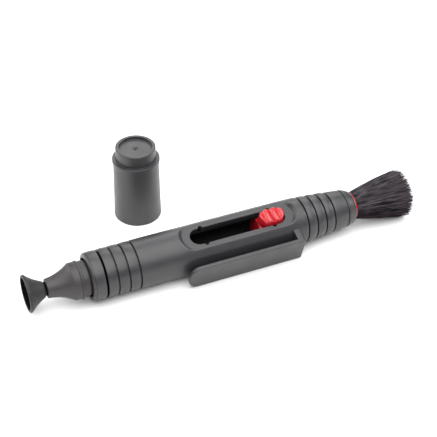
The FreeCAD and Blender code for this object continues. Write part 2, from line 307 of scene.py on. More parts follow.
class Sketch:
    """Adds and links the nodes of one tree."""

    def __init__(self, tree: bpy.types.NodeTree) -> None:
        """Keep the tree that is being drawn, and name its plain sums.

        Args:
            tree: The tree that is drawn.
        """
        self.tree = tree
        self.plus, self.minus, self.times, self.over, self.power = (
            partial(self.math, name)
            for name in ("ADD", "SUBTRACT", "MULTIPLY", "DIVIDE", "POWER"))

    def add(self, kind: str, inputs: dict[Any, Any] | None = None, **settings: Any) -> Any:
        """Add one node.

        Args:
            kind: Blender's name for the node type.
            inputs: Socket name or number to a value or to the socket that feeds it.
            **settings: Properties of the node itself.

        Returns:
            The new node.
        """
        node = self.tree.nodes.new(kind)
        for name, value in settings.items():
            setattr(node, name, value)
        for key, value in (inputs or {}).items():
            self.feed(node.inputs[key], value)
        return node

    def feed(self, socket: Any, value: Any) -> None:
        """Link a socket to another, or set its value.

        Args:
            socket: The input that is fed.
            value: A socket, or a plain value.
        """
        if isinstance(value, bpy.types.NodeSocket):
            self.tree.links.new(value, socket)
        else:
            socket.default_value = value

    def math(self, operation: str, *values: Any) -> Any:
        """Add a Math node and return its output socket.

        Args:
            operation: Blender's name for the sum.
            *values: Its operands: sockets or numbers.

        Returns:
            The socket with the result.
        """
        node = self.add("ShaderNodeMath", operation=operation)
        for index, value in enumerate(values):
            self.feed(node.inputs[index], value)
        return node.outputs[0]

    def vector(self, x: Any, y: Any, z: Any) -> Any:
        """Add a Combine XYZ node and return its output socket."""
        return self.add("ShaderNodeCombineXYZ", {"X": x, "Y": y, "Z": z}).outputs[0]

    def blend(self, share: Any, low: Any, high: Any) -> Any:
        """Add a Mix node for colours and return its output socket."""
        node = self.add("ShaderNodeMix", {0: share, 6: low, 7: high}, data_type="RGBA")
        return node.outputs[2]

    def stored(self, name: str) -> Any:
        """Add an Attribute node of a material and return its number."""
        return self.add("ShaderNodeAttribute", attribute_name=name).outputs["Fac"]


class ShapeTree:
    """A Geometry Nodes tree with named inputs, run once to make a plain mesh."""

    def __init__(self, name: str, inputs: Sequence[tuple[str, str]]) -> None:
        """Make the tree's interface.

        Args:
            name: Name of the tree.
            inputs: Name and socket type of each input after the geometry.
        """
        self.tree = bpy.data.node_groups.new(name, "GeometryNodeTree")
        interface = self.tree.interface
        interface.new_socket("Geometry", in_out="INPUT", socket_type="NodeSocketGeometry")
        self.identifiers = {
            label: interface.new_socket(label, in_out="INPUT", socket_type=kind).identifier
            for label, kind in [*inputs, ("Material", "NodeSocketMaterial")]
        }
        interface.new_socket("Geometry", in_out="OUTPUT", socket_type="NodeSocketGeometry")
        self.sketch = Sketch(self.tree)
        self.group_in = self.tree.nodes.new("NodeGroupInput")
        self.group_out = self.tree.nodes.new("NodeGroupOutput")

    def given(self, label: str) -> Any:
        """The socket that carries one of the tree's inputs."""
        return self.group_in.outputs[label]

    def close(self, geometry: Any) -> None:
        """End the tree with Realize Instances and Set Material.

        Args:
            geometry: The socket with the finished shape.
        """
        real = self.sketch.add("GeometryNodeRealizeInstances", {"Geometry": geometry})
        dressed = self.sketch.add("GeometryNodeSetMaterial", {
            "Geometry": real.outputs[0], "Material": self.given("Material")})
        self.sketch.feed(self.group_out.inputs[0], dressed.outputs[0])

    def mesh(self, name: str, seed: bpy.types.Mesh, values: dict[str, Any]) -> bpy.types.Mesh:
        """Run the tree and keep its result.

        Args:
            name: Name of the new mesh.
            seed: Mesh that the tree starts from.
            values: The tree's inputs by name.

        Returns:
            A plain mesh, still in millimetres.
        """
        carrier = bpy.data.objects.new(name + "_seed", seed)
        modifier = carrier.modifiers.new("shape", "NODES")
        modifier.node_group = self.tree
        for label, value in values.items():
            modifier[self.identifiers[label]] = value
        bpy.context.scene.collection.objects.link(carrier)
        graph = bpy.context.evaluated_depsgraph_get()
        mesh = bpy.data.meshes.new_from_object(carrier.evaluated_get(graph), depsgraph=graph)
        mesh.name = name
        carrier.modifiers.remove(modifier)
        bpy.data.objects.remove(carrier)
        return mesh


def turning_tree() -> ShapeTree:
    """Build the tree that turns a line of points into a round piece.

    Its seed mesh holds the outline as loose points: X along the axis, Y the radius.

    Returns:
        The tree.
    """
    tree = ShapeTree("turned_piece", [
        ("Outline Points", "NodeSocketInt"),
        ("Segments", "NodeSocketInt"),
        ("Merge Distance", "NodeSocketFloat"),
    ])
    sketch = tree.sketch
    columns = sketch.plus(tree.given("Segments"), 1.0)
    grid = sketch.add("GeometryNodeMeshGrid", {
        "Vertices X": tree.given("Outline Points"), "Vertices Y": columns})
    index = sketch.add("GeometryNodeInputIndex").outputs[0]
    row = sketch.math("FLOOR", sketch.over(sketch.plus(index, 0.5), columns))
    column = sketch.minus(index, sketch.times(row, columns))
    angle = sketch.times(sketch.over(column, tree.given("Segments")), math.tau)
    position = sketch.add("GeometryNodeInputPosition").outputs[0]
    outline = sketch.add(
        "GeometryNodeSampleIndex",
        {"Geometry": tree.given("Geometry"), "Value": position, "Index": row},
        data_type="FLOAT_VECTOR", domain="POINT")
    parts = sketch.add("ShaderNodeSeparateXYZ", {0: outline.outputs[0]})
    radius = parts.outputs["Y"]
    across = sketch.times(radius, sketch.math("COSINE", angle))
    up = sketch.times(radius, sketch.math("SINE", angle))
    placed = sketch.add("GeometryNodeSetPosition", {
        "Geometry": grid.outputs["Mesh"],
        "Position": sketch.vector(parts.outputs["X"], across, up),
    })
    merged = sketch.add("GeometryNodeMergeByDistance", {
        "Geometry": placed.outputs[0], "Distance": tree.given("Merge Distance")})
    flipped = sketch.add("GeometryNodeFlipFaces", {"Mesh": merged.outputs[0]})
    tree.close(flipped.outputs[0])
    return tree


# ---- Finishes ----
@dataclass(frozen=True)
class Finish:
    """What every finish has: a slot name, a colour and its roughness."""

    slot: str
    colour: Colour
    roughness: float

    def material(self) -> bpy.types.Material:
        """Build the finish's material.

        Returns:
            The material, named after the slot.
        """
        material = bpy.data.materials.new(self.slot)
        material.use_nodes = True
        material.diffuse_color = self.colour
        sketch = Sketch(material.node_tree)
        shader = material.node_tree.nodes["Principled BSDF"]
        self.dress(sketch, shader)
        return material

    def dress(self, sketch: Sketch, shader: Any) -> None:
        """Draw the nodes that feed the shader."""
        raise NotImplementedError

    def noise(
        self, sketch: Sketch, scale: float, detail: float, stretch: Triple | None = None
    ) -> Any:
        """Noise that is fixed to the piece.

        Args:
            sketch: The material's nodes.
            scale: Size of the pattern, in repeats per metre.
            detail: Number of finer layers.
            stretch: Scale of the pattern along each axis.

        Returns:
            The socket with the noise's value.
        """
        place = sketch.add("ShaderNodeTexCoord").outputs["Object"]
        if stretch:
            place = sketch.add("ShaderNodeMapping", {"Vector": place, "Scale": stretch}).outputs[0]
        return sketch.add("ShaderNodeTexNoise", {
            "Vector": place, "Scale": scale, "Detail": detail}).outputs[0]

    def spread(self, sketch: Sketch, value: Any, low: float, high: float) -> Any:
        """Map the middle of a noise to a range.

        Args:
            sketch: The material's nodes.
            value: The socket with the noise.
            low: Result at the low end.
            high: Result at the high end.

        Returns:
            The socket with the result.
        """
        node = sketch.add("ShaderNodeMapRange", {
            "Value": value, "From Min": NOISE_LOW, "From Max": NOISE_HIGH,
            "To Min": low, "To Max": high})
        return node.outputs[0]

    def shade(self, factor: float) -> Colour:
        """The finish's colour, lighter or darker."""
        red, green, blue, _ = self.colour
        return (red * factor, green * factor, blue * factor, 1.0)

    def tint(self, sketch: Sketch, value: Any, darker: float, lighter: float) -> Any:
        """The finish's colour, made darker and lighter by a noise."""
        share = self.spread(sketch, value, 0.0, 1.0)
        return sketch.blend(share, self.shade(darker), self.shade(lighter))

    def paint(
        self, sketch: Sketch, shader: Any, colour: Any, wear: Any, below: float, above: float
    ) -> None:
        """Feed the shader's colour and roughness.

        Args:
            sketch: The material's nodes.
            shader: The shader that is dressed.
            colour: The socket with the colour.
            wear: The noise that the roughness follows.
            below: How far the roughness falls under the finish's own.
            above: How far it rises over it.
        """
        low, high = self.roughness - below, self.roughness + above
        sketch.feed(shader.inputs["Base Color"], colour)
        sketch.feed(shader.inputs["Roughness"], self.spread(sketch, wear, low, high))

    def bump(
        self, sketch: Sketch, shader: Any, height: Any, strength: float, depth: float
    ) -> None:
        """Feed the shader's normal from a height.

        Args:
            sketch: The material's nodes.
            shader: The shader that is dressed.
            height: The socket with the height.
            strength: How much of the bump shows.
            depth: The height's real size, in metres.
        """
        node = sketch.add("ShaderNodeBump", {
            "Strength": strength, "Distance": depth, "Height": height})
        sketch.feed(shader.inputs["Normal"], node.outputs[0])


@dataclass(frozen=True)
class MouldedPlastic(Finish):
    """Moulded plastic with a fine spark-eroded grain, faint flow in its colour and painted shade
    in its grooves and gaps.
    """

    grain: float = 5200.0
    grain_detail: float = 2.0
    grain_strength: float = 0.22
    grain_depth: float = 0.00002
    flow: float = 0.06
    drift: Point = (55.0, 3.0)
    rubbing: Point = (240.0, 4.0)
    wear: Point = (0.05, 0.05)
    coat: float = 0.0
    coat_roughness: float = 0.25
    gloss: float = 0.5

    def dress(self, sketch: Sketch, shader: Any) -> None:
        """Draw the grain, the flow, the handling marks and the painted shade in grooves and gaps.

        Args:
            sketch: The material's nodes.
            shader: The shader that is dressed.
        """
        drift = self.noise(sketch, *self.drift)
        speck = self.noise(sketch, self.grain, self.grain_detail)
        rubbed = self.noise(sketch, *self.rubbing)
        recess = sketch.stored(PAINTED_SHADE)
        colour = self.tint(sketch, drift, 1 - self.flow, 1 + self.flow)
        # Painted shade: blend towards near-black where the mesh lies in a groove or gap, and take
        # the gloss out there.
        colour = sketch.blend(recess, colour, PAINTED_SHADE_COLOUR)
        self.paint(sketch, shader, colour, rubbed, *self.wear)
        in_open = sketch.minus(1.0, recess)
        gloss = sketch.times(in_open, self.gloss)
        sketch.feed(shader.inputs["Specular IOR Level"], gloss)
        if self.coat:
            sketch.feed(shader.inputs["Coat Weight"], sketch.times(in_open, self.coat))
        shader.inputs["Coat Roughness"].default_value = self.coat_roughness
        self.bump(sketch, shader, speck, self.grain_strength, self.grain_depth)


@dataclass(frozen=True)
class SoftRubber(Finish):
    """Matt rubber with a dusty bloom."""

    sheen: float = 0.03
    sheen_roughness: float = 0.5
    pit_strength: float = 0.35
    pit_depth: float = 0.00004
    bloom: Point = (420.0, 5.0)
    pits: Point = (3600.0, 3.0)
    shades: Point = (0.8, 1.3)
    wear: Point = (0.08, 0.08)

    def dress(self, sketch: Sketch, shader: Any) -> None:
        """Draw the bloom and the fine pitting.

        Args:
            sketch: The material's nodes.
            shader: The shader that is dressed.
        """
        bloom = self.noise(sketch, *self.bloom)
        pits = self.noise(sketch, *self.pits)
        colour = self.tint(sketch, bloom, *self.shades)
        self.paint(sketch, shader, colour, pits, *self.wear)
        shader.inputs["Sheen Weight"].default_value = self.sheen
        shader.inputs["Sheen Roughness"].default_value = self.sheen_roughness
        self.bump(sketch, shader, pits, self.pit_strength, self.pit_depth)


@dataclass(frozen=True)
class Napped(Finish):
    """A soft napped face: chamois with carbon in it, or felt."""

    fibre: float = 2600.0
    nap_strength: float = 0.6
    nap_depth: float = 0.0001
    cloud_share: float = 0.125
    cloud_detail: float = 4.0
    shades: Point = (0.6, 1.5)
    wear: Point = (0.06, 0.04)

    def dress(self, sketch: Sketch, shader: Any) -> None:
        """Draw the nap from cells and noise.

        Args:
            sketch: The material's nodes.
            shader: The shader that is dressed.
        """
        place = sketch.add("ShaderNodeTexCoord").outputs["Object"]
        cells = sketch.add("ShaderNodeTexVoronoi", {"Vector": place, "Scale": self.fibre})
        cloud = self.noise(sketch, self.fibre * self.cloud_share, self.cloud_detail)
        nap = sketch.times(cells.outputs["Distance"], cloud)
        colour = self.tint(sketch, cloud, *self.shades)
        self.paint(sketch, shader, colour, cloud, *self.wear)
        shader.inputs["Specular IOR Level"].default_value = 0.0
        self.bump(sketch, shader, nap, self.nap_strength, self.nap_depth)


@dataclass(frozen=True)
class Hair(Finish):
    """Fine dark bristle; each hair has its own shade, and its tip is lighter."""

    tip: Colour = (0.075, 0.055, 0.072, 1.0)
    streak: Point = (1000.0, 3.0)
    stretch: Triple = (0.15, 1.0, 1.0)
    streak_strength: float = 0.2
    streak_depth: float = 0.00003
    pale_rarity: float = 3.0
    root_pale: float = 0.4
    clumping: Point = (0.1, 2.2)
    gloss: Point = (0.04, 0.4)
    wear: Point = (0.08, 0.1)

    def dress(self, sketch: Sketch, shader: Any) -> None:
        """Draw the shade from each hair's own number and the place along it.

        Args:
            sketch: The material's nodes.
            shader: The shader that is dressed.
        """
        own, along = sketch.stored(HAIR_SHADE), sketch.stored(HAIR_ALONG)
        streak = self.noise(sketch, *self.streak, self.stretch)
        pale = sketch.times(
            sketch.power(own, self.pale_rarity), sketch.plus(along, self.root_pale))
        clumped = sketch.times(pale, self.spread(sketch, streak, *self.clumping))
        colour = sketch.blend(clumped, self.colour, self.tip)
        self.paint(sketch, shader, colour, streak, *self.wear)
        gloss = self.spread(sketch, streak, *self.gloss)
        sketch.feed(shader.inputs["Specular IOR Level"], gloss)
        self.bump(sketch, shader, streak, self.streak_strength, self.streak_depth)


@dataclass(frozen=True)
class Metal(Finish):
    """Drawn spring steel."""

    lines: Point = (2400.0, 3.0)
    stretch: Triple = (0.05, 1.0, 1.0)
    line_strength: float = 0.15
    line_depth: float = 0.00001
    shades: Point = (0.85, 1.1)
    wear: Point = (0.1, 0.1)

    def dress(self, sketch: Sketch, shader: Any) -> None:
        """Draw the lines of the drawing die.

        Args:
            sketch: The material's nodes.
            shader: The shader that is dressed.
        """
        lines = self.noise(sketch, *self.lines, self.stretch)
        colour = self.tint(sketch, lines, *self.shades)
        self.paint(sketch, shader, colour, lines, *self.wear)
        shader.inputs["Metallic"].default_value = 1.0
        self.bump(sketch, shader, lines, self.line_strength, self.line_depth)


FINISHES = (
    MouldedPlastic("grey_plastic", (0.024, 0.024, 0.026, 1.0), 0.42, coat=0.05),
    MouldedPlastic("nose_plastic", (0.027, 0.024, 0.025, 1.0), 0.5),
    MouldedPlastic(
        "inner_plastic", (0.004, 0.004, 0.0045, 1.0), 0.6, grain_strength=0.3, gloss=0.12),
    MouldedPlastic("red_plastic", (0.40, 0.008, 0.014, 1.0), 0.24, flow=0.04, coat=0.35),
    SoftRubber("tip_rubber", (0.007, 0.0066, 0.007, 1.0), 0.6),
    Napped("carbon_pad", (0.003, 0.003, 0.0035, 1.0), 0.95),
    Hair("bristle_hair", (0.005, 0.0035, 0.0048, 1.0), 0.4),
    MouldedPlastic("knot_resin", (0.05, 0.028, 0.012, 1.0), 0.25, flow=0.2, grain=900.0),
    Metal("spring_steel", (0.55, 0.56, 0.58, 1.0), 0.3),
    Napped("cap_felt", (0.035, 0.035, 0.038, 1.0), 0.95, fibre=1800.0),
)


# ---- The bench: places, finishes and the making of pieces ----
class Bench:
    """Knows where the pen and the cap are, and turns meshes into finished pieces."""

    def __init__(self) -> None:
        """Read the places from the frame and make the finishes."""
        barrel_low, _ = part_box("barrel_shell")
        cap_low, cap_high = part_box("cap_shell")
        hinge = next(joint for joint in frame["joints"] if joint["name"] == "clip_flex")
        _, across, up = hinge["axis"]
        self.panel_tilt = math.atan2(-across, up)
        self.joint = barrel_low.x
        self.table = cap_low.z / MM
        self.cap_foot = Vector((
            (cap_low.x + cap_high.x) / 2, (cap_low.y + cap_high.y) / 2, cap_low.z))
        self.turning = turning_tree()
        self.materials = {finish.slot: finish.material() for finish in FINISHES}

    def on_pen(self, turn: float = 0.0) -> Matrix:
        """Place pen stations in the frame.

        Args:
            turn: Angle about the pen's axis, from facing up towards the clip's side.

        Returns:
            The matrix from millimetres on the pen to metres in the frame.
        """
        shift = Matrix.Translation((self.joint, 0.0, 0.0))
        return shift @ Matrix.Rotation(turn, 4, "X") @ Matrix.Scale(MM, 4)

    def on_cap(self) -> Matrix:
        """Place heights up the cap, drawn along X, in the frame."""
        upright = Matrix.Rotation(-math.pi / 2, 4, "Y")
        return Matrix.Translation(self.cap_foot) @ upright @ Matrix.Scale(MM, 4)

    def finished(
        self, name: str, mesh: bpy.types.Mesh, place: Matrix, slot: str, body: Body,
        stands_for: str | None = None,
    ) -> bpy.types.Object:
        """Make a piece of a mesh, dress it and let it ride on its body.

        Args:
            name: Name of the piece.
            mesh: Its mesh in millimetres.
            place: The matrix that puts the mesh in the frame.
            slot: Material slot of its finish.
            body: The body that it rides on.
            stands_for: The CAD node that it is shown in place of.

        Returns:
            The finished piece.
        """
        mesh.transform(place)
        mesh.shade_smooth()
        mesh.set_sharp_from_angle(angle=SHARP_ANGLE)
        mesh.materials.clear()
        mesh.materials.append(self.materials[slot])
        piece = bpy.data.objects.new(name, mesh)
        bpy.context.scene.collection.objects.link(piece)
        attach(piece, body.value)
        if stands_for:
            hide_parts(stands_for)
        LOG.info("%s: %d faces, %s, rides on %s", name, len(mesh.polygons), slot, body.value)
        return piece

    def stand_in(
        self, node: str, mesh: bpy.types.Mesh, place: Matrix, slot: str, body: Body,
        painted_shade_of: Callable[[Vector], float] | None = None,
    ) -> bpy.types.Object:
        """Make a piece that is shown in place of a CAD node.

        Args:
            node: The CAD node's name.
            mesh: Its mesh in millimetres.
            place: The matrix that puts it in the frame.
            slot: Material slot of its finish.
            body: The body that it rides on.
            painted_shade_of: How far a point lies in a gap, for the shade in it.

        Returns:
            The finished piece.
        """
        if painted_shade_of:
            mark_painted_shade(mesh, painted_shade_of)
        return self.finished(node + FINE, mesh, place, slot, body, node)

    def turned(
        self, node: str, corners: Sequence[Corner], place: Matrix, slot: str, body: Body,
        closed: bool = False, segments: int = SEGMENTS,
        painted_shade_of: Callable[[Vector], float] | None = None,
    ) -> bpy.types.Object:
        """Make a turned piece in place of a CAD node.

        Args:
            node: The CAD node's name.
            corners: Its outline, from the axis or the bore and back.
            place: The matrix that puts it in the frame.
            slot: Material slot of its finish.
            body: The body that it rides on.
            closed: Whether the outline is a ring's section.
            segments: Number of faces round the axis.
            painted_shade_of: How far a point lies in a gap, for the shade in it.

        Returns:
            The finished piece.
        """
        outline = rounded(corners, closed)
        seed = bpy.data.meshes.new(node + "_outline")
        seed.from_pydata([(along, out, 0.0) for along, out in outline], [], [])
        mesh = self.turning.mesh(node + FINE, seed, {
            "Outline Points": len(outline),
            "Segments": segments,
            "Merge Distance": MERGE_DISTANCE,
            "Material": self.materials[slot],
        })
        return self.stand_in(node, mesh, place, slot, body, painted_shade_of)

    def redress(self, node: str, slot: str) -> None:
        """Give a CAD node that stays its finish.

        Args:
            node: The CAD node's name.
            slot: Material slot of its finish.
        """
        piece = frame["nodes"][node]
        piece.data.materials.clear()
        piece.data.materials.append(self.materials[slot])
        LOG.info("%s keeps its shape, %s", node, slot)


# ---- Barrel ----
@dataclass
class Barrel:
    """The barrel with its grip rings, tapered ribs and the slider's panel and slot."""

    bench: Bench
    radius: float = 8.0
    bore: float = 5.45
    end: float = 85.3
    joint_radius: float = 7.1
    joint_gap: float = 0.36
    grip_end: float = 24.5
    taper_start: float = 62.2
    taper_start_radius: float = 7.95
    taper_arc: float = 170.0
    grip_grooves: tuple[float, ...] = (3.74, 7.43, 11.09)
    first_rib: float = 69.96
    rib_pitch: float = 3.4
    rib_count: int = 4
    groove_width: float = 0.5
    groove_depth: float = 0.7
    groove_floor: float = 0.8
    groove_fillet: float = 0.05
    # Strength of the painted shade in the grip grooves and in the grooves between the ribs.
    groove_shade_strength: float = 0.55
    rib_shade_strength: float = 0.8
    shade_margin: float = 1.0
    crown: float = 0.14
    rib_crown: float = 0.2
    grip_crown_ends: Point = (1.0, 0.3)
    rib_crown_ends: Point = (0.0, 1.0)
    band_fillet: float = 0.08
    panel_height: float = 6.36
    panel_floor: Point = (27.4, 65.8)
    panel_rim: Point = (26.0, 67.2)
    floor_half_width: float = 4.75
    floor_rings: tuple[Point, ...] = ((0.32, 1.0), (0.62, 0.8))
    last_ring: Point = (0.9, 0.4)
    floor_shares: tuple[float, ...] = (0.15, 0.55, 0.9)
    rim_half_width: float = 5.10
    wall_shares: tuple[float, ...] = (
        0.0, 0.04, 0.1, 0.16, 0.3, 0.5, 0.7, 0.84, 0.9, 0.96, 1.0)
    wall_ease: float = 0.16
    slot: Point = (30.0, 63.1)
    slot_half_width: float = 3.0
    slot_fillet: float = 0.2
    slot_support: float = 0.12
    notches: tuple[float, ...] = (34.5, 58.3)
    notch_radius: float = 0.75
    notch_steps: tuple[float, ...] = (0.0, 0.3, 0.5, 0.64, 0.72, 0.75, 0.95)
    notch_room: float = 1.05
    side_steps: int = 26
    side_share: float = 0.98
    window: Point = (25.0, 68.2)
    window_shares: tuple[float, ...] = (0.0, 0.05, 0.15, 0.35, 0.65, 1.0)
    window_steps: int = 28
    around: int = 192
    corner_steps: int = 6
    corner_angle: float = math.radians(55)
    sides: list[float] = field(init=False)
    ends: list[float] = field(init=False)

    def __post_init__(self) -> None:
        """Work out how the loops round the slot are divided."""
        near, far = self.slot_centres()
        marks = set(evenly(near, far, self.side_steps)[1:-1])
        for notch in self.notches:
            marks = {x for x in marks if abs(x - notch) > self.notch_room}
            marks |= {notch + side * step for side in (-1, 1) for step in self.notch_steps}
        self.sides = [(x - near) / (far - near) for x in sorted(marks)]
        right, corner = math.pi / 2, self.corner_angle
        self.ends = evenly(-right, -corner, self.corner_steps)[:-1]
        self.ends += evenly(-corner, corner, 2 * self.window_steps)
        self.ends += evenly(corner, right, self.corner_steps)[1:]

    def slot_centres(self) -> Point:
        """Where the centres of the slot's round ends are."""
        return self.slot[0] + self.slot_half_width, self.slot[1] - self.slot_half_width

    def radius_at(self, station: float) -> float:
        """Outer radius: a plain grip, a slight draft, then a large arc to the mouth.

        Args:
            station: Place along the pen.

        Returns:
            The outer radius there.
        """
        if station <= self.grip_end:
            return self.radius
        if station < self.taper_start:
            share = (station - self.grip_end) / (self.taper_start - self.grip_end)
            return self.radius + (self.taper_start_radius - self.radius) * share
        run = station - self.taper_start
        fall = self.taper_arc - math.sqrt(self.taper_arc ** 2 - run ** 2)
        return self.taper_start_radius - fall

    def band(self, start: float, end: float, crowns: Point) -> list[Corner]:
        """The outside between two grooves, slightly crowned.

        Args:
            start: Station where the band starts.
            end: Station where it ends.
            crowns: How far its first and its last edge lie below its middle.

        Returns:
            The band's corners, its two edges rounded.
        """
        corners = []
        for share in evenly(-1.0, 1.0, BAND_STEPS):
            along = (start + end + share * (end - start)) / 2
            fillet = self.band_fillet if abs(share) == 1 else 0.0
            fall = crowns[0 if share < 0 else 1] * share ** 2
            corners.append(Corner(along, self.radius_at(along) - fall, fillet))
        return corners

    def groove(self, station: float) -> list[Corner]:
        """The floor of a groove round the barrel.

        Args:
            station: The groove's middle.

        Returns:
            The floor's two corners.
        """
        half = self.groove_floor * self.groove_width / 2
        floor = self.radius_at(station) - self.groove_depth
        return [
            Corner(station + side * half, floor, self.groove_fillet) for side in (-1, 1)]

    def banded(
        self, start: float, grooves: Sequence[float], end: float, crown: float,
        ends: Point,
    ) -> list[Corner]:
        """The outside from one place to another with grooves between crowned bands.

        Args:
            start: Station where the first band starts.
            grooves: Stations of the grooves.
            end: Station where the last band ends.
            crown: How far the bands' edges lie below their middles.
            ends: Share of the crown for the first band's start and the last band's.

        Returns:
            The corners of the outside.
        """
        half = self.groove_width / 2
        corners: list[Corner] = []
        near = crown * ends[0]
        for groove in grooves:
            corners += self.band(start, groove - half, (near, crown))
            corners += self.groove(groove)
            start, near = groove + half, crown
        return corners + self.band(start, end, (crown * ends[1], 0.0))

    def ring(self, along: float, out: float) -> list[Triple]:
        """A full circle of points about the axis, counted from the panel's middle."""
        turns = evenly(0.0, math.tau, self.around)[:-1]
        return [(along, out * math.sin(t), out * math.cos(t)) for t in turns]

    def window_angle(self) -> float:
        """Half of the window's angle about the axis."""
        return math.tau * self.window_steps / self.around

    def window_loop(self) -> list[Point]:
        """Places of the window's edge as (station, angle), in the order of a loop.

        Returns:
            The places, round once.
        """
        near, far = self.slot_centres()
        low, high = self.window
        angle = self.window_angle()
        steps = self.corner_steps
        level = evenly(-angle, angle, 2 * self.window_steps)
        first = [(x, -angle) for x in evenly(near, low, steps)[:-1]]
        first += [(low, a) for a in level]
        first += [(x, angle) for x in evenly(low, near, steps)[1:]]
        second = [(x, -angle) for x in evenly(far, high, steps)[:-1]]
        second += [(high, a) for a in level]
        second += [(x, angle) for x in evenly(high, far, steps)[1:]]
        side = [near + (far - near) * share for share in self.sides]
        out = [(x, angle) for x in side]
        home = [(x, -angle) for x in side]
        return first + out + second[::-1] + home[::-1]

    def slot_loop(self, grow: float, notch_share: float) -> list[Point]:
        """The slot's outline, made wider.

        Args:
            grow: How much wider on each side.
            notch_share: How much of the half-round notches the outline has.

        Returns:
            Places as (station, across).
        """
        near, far = self.slot_centres()
        points = stadium(near, far, self.slot_half_width + grow, self.ends, self.sides)
        moved = []
        for x, y in points:
            dip = sum(
                math.sqrt(max(0.0, self.notch_radius ** 2 - (x - notch) ** 2))
                for notch in self.notches)
            on_side = abs(y) > self.slot_half_width * self.side_share
            moved.append((x, y + math.copysign(dip * notch_share, y) if on_side else y))
        return moved

    def wall_loop(self, share: float) -> list[Point]:
        """An outline between the panel's flat floor and its rim.

        Args:
            share: 0 at the floor's edge, 1 at the rim.

        Returns:
            Places as (station, across).
        """
        floor, rim = self.floor_half_width, self.rim_half_width
        width = floor + (rim - floor) * share
        start = self.panel_floor[0] + (self.panel_rim[0] - self.panel_floor[0]) * share
        end = self.panel_floor[1] + (self.panel_rim[1] - self.panel_floor[1]) * share
        return stadium(start + width, end - width, width, self.ends, self.sides)

    def height_at(self, point: Point) -> float:
        """Height of the round outside over a place on the panel."""
        return math.sqrt(self.radius_at(point[0]) ** 2 - point[1] ** 2)

    def slot_wall(self) -> list[list[Triple]]:
        """Loops up the slot's wall and over its rounded edge.

        Returns:
            The loops, from the bore up.
        """
        edge = self.slot_loop(0.0, 1.0)
        top = self.panel_height - self.slot_fillet
        loops = [
            [(x, y, math.sqrt(self.bore ** 2 - y ** 2)) for x, y in edge],
            [(x, y, top - self.slot_support) for x, y in edge],
        ]
        for angle in evenly(0.0, math.pi / 2, EDGE_STEPS):
            out = self.slot_fillet * (1 - math.cos(angle))
            height = top + self.slot_fillet * math.sin(angle)
            loops.append([(x, y, height) for x, y in self.slot_loop(out, 1.0)])
        return loops

    def panel(self) -> list[list[Triple]]:
        """Loops over the flat floor and up its wall to the round outside.

        Returns:
            The loops, from the slot's edge outwards.
        """
        loops = []
        for ring in self.floor_rings:
            loops.append([(x, y, self.panel_height) for x, y in self.slot_loop(*ring)])
        inner, outer = self.slot_loop(*self.last_ring), self.wall_loop(0.0)
        for share in self.floor_shares:
            flat = [mixed(a, b, share) for a, b in zip(inner, outer)]
            loops.append([(x, y, self.panel_height) for x, y in flat])
        for share in self.wall_shares:
            rise = eased_ramp(share, self.wall_ease)
            loops.append([
                (*point, self.panel_height + rise * (self.height_at(point) - self.panel_height))
                for point in self.wall_loop(share)
            ])
        return loops

    def onto_window(
        self, loop: Sequence[Point], out: Callable[[float], float]
    ) -> list[list[Triple]]:
        """Loops on a round surface, from an outline to the window's edge.

        Args:
            loop: Places as (station, across).
            out: Radius of the surface at a station.

        Returns:
            The loops, the window's edge last.
        """
        starts = [(x, math.asin(y / out(x))) for x, y in loop]
        loops = []
        for share in self.window_shares:
            row = [mixed(a, b, share) for a, b in zip(starts, self.window_loop())]
            loops.append([(x, out(x) * math.sin(a), out(x) * math.cos(a)) for x, a in row])
        return loops

    def beside_window(self, out: Callable[[float], float]) -> list[list[Triple]]:
        """Rows of points on a round surface, round the far side of the window.

        Args:
            out: Radius of the surface at a station.

        Returns:
            The rows, one for each station of the window's edge.
        """
        angle = self.window_angle()
        turns = evenly(angle, math.tau - angle, self.around - 2 * self.window_steps)
        stations = sorted({round(x, 6) for x, _ in self.window_loop()})
        return [[(x, out(x) * math.sin(t), out(x) * math.cos(t)) for t in turns] for x in stations]

    def skin(self) -> Skin:
        """Put the barrel's surfaces together.

        Returns:
            The barrel's closed skin.
        """
        skin = Skin()
        low, high = self.window
        gap = self.joint_gap
        left = [Corner(0.0, self.bore), Corner(0.0, self.joint_radius)]
        left += [Corner(gap, self.joint_radius, JOINT_FILLET)]
        left += self.banded(gap, self.grip_grooves, low, self.crown, self.grip_crown_ends)
        ribs = [self.first_rib + self.rib_pitch * index for index in range(self.rib_count)]
        right = self.banded(high, ribs, self.end, self.rib_crown, self.rib_crown_ends)
        right += [Corner(self.end, self.bore)]
        skin.strip([self.ring(*point) for point in rounded(left, False)])
        skin.strip([self.ring(*point) for point in rounded(right, False)])
        skin.strip([self.ring(0.0, self.bore), self.ring(low, self.bore)])
        skin.strip([self.ring(high, self.bore), self.ring(self.end, self.bore)])
        skin.strip(self.beside_window(self.radius_at), closed=False)
        skin.strip(self.beside_window(lambda _: self.bore), closed=False)
        skin.strip(self.slot_wall() + self.panel())
        skin.strip(self.onto_window(self.wall_loop(1.0), self.radius_at))
        skin.strip(self.onto_window(self.slot_loop(0.0, 1.0), lambda _: self.bore))
        return skin

    def groove_shade(self, point: Vector) -> float:
        """How much painted shade a point gets, from how far it lies in one of the grooves round
        the barrel.

        Args:
            point: A point of the barrel, in stations.

        Returns:
            0 on the open outside, up to 1 deep in a groove.
        """
        margin = self.shade_margin
        if self.grip_grooves[-1] + margin < point.x < self.first_rib - margin:
            return 0.0
        drop = self.radius_at(point.x) - math.hypot(point.y, point.z)
        share = min(max((drop - SHADE_FROM) / SHADE_RUN, 0.0), 1.0)
        if point.x < 2 * self.joint_gap:
            return share
        return share * (self.groove_shade_strength if point.x < self.window[0] else self.rib_shade_strength)

    def build(self) -> None:
        """Make the barrel and dress what lies inside it."""
        place = self.bench.on_pen(self.bench.panel_tilt)
        mesh = self.skin().mesh("barrel_shell" + FINE)
        self.bench.stand_in(
            "barrel_shell", mesh, place, "grey_plastic", Body.PEN, self.groove_shade)
        for node in ("guide_sleeve", "barrel_plug"):
            self.bench.redress(node, "inner_plastic")


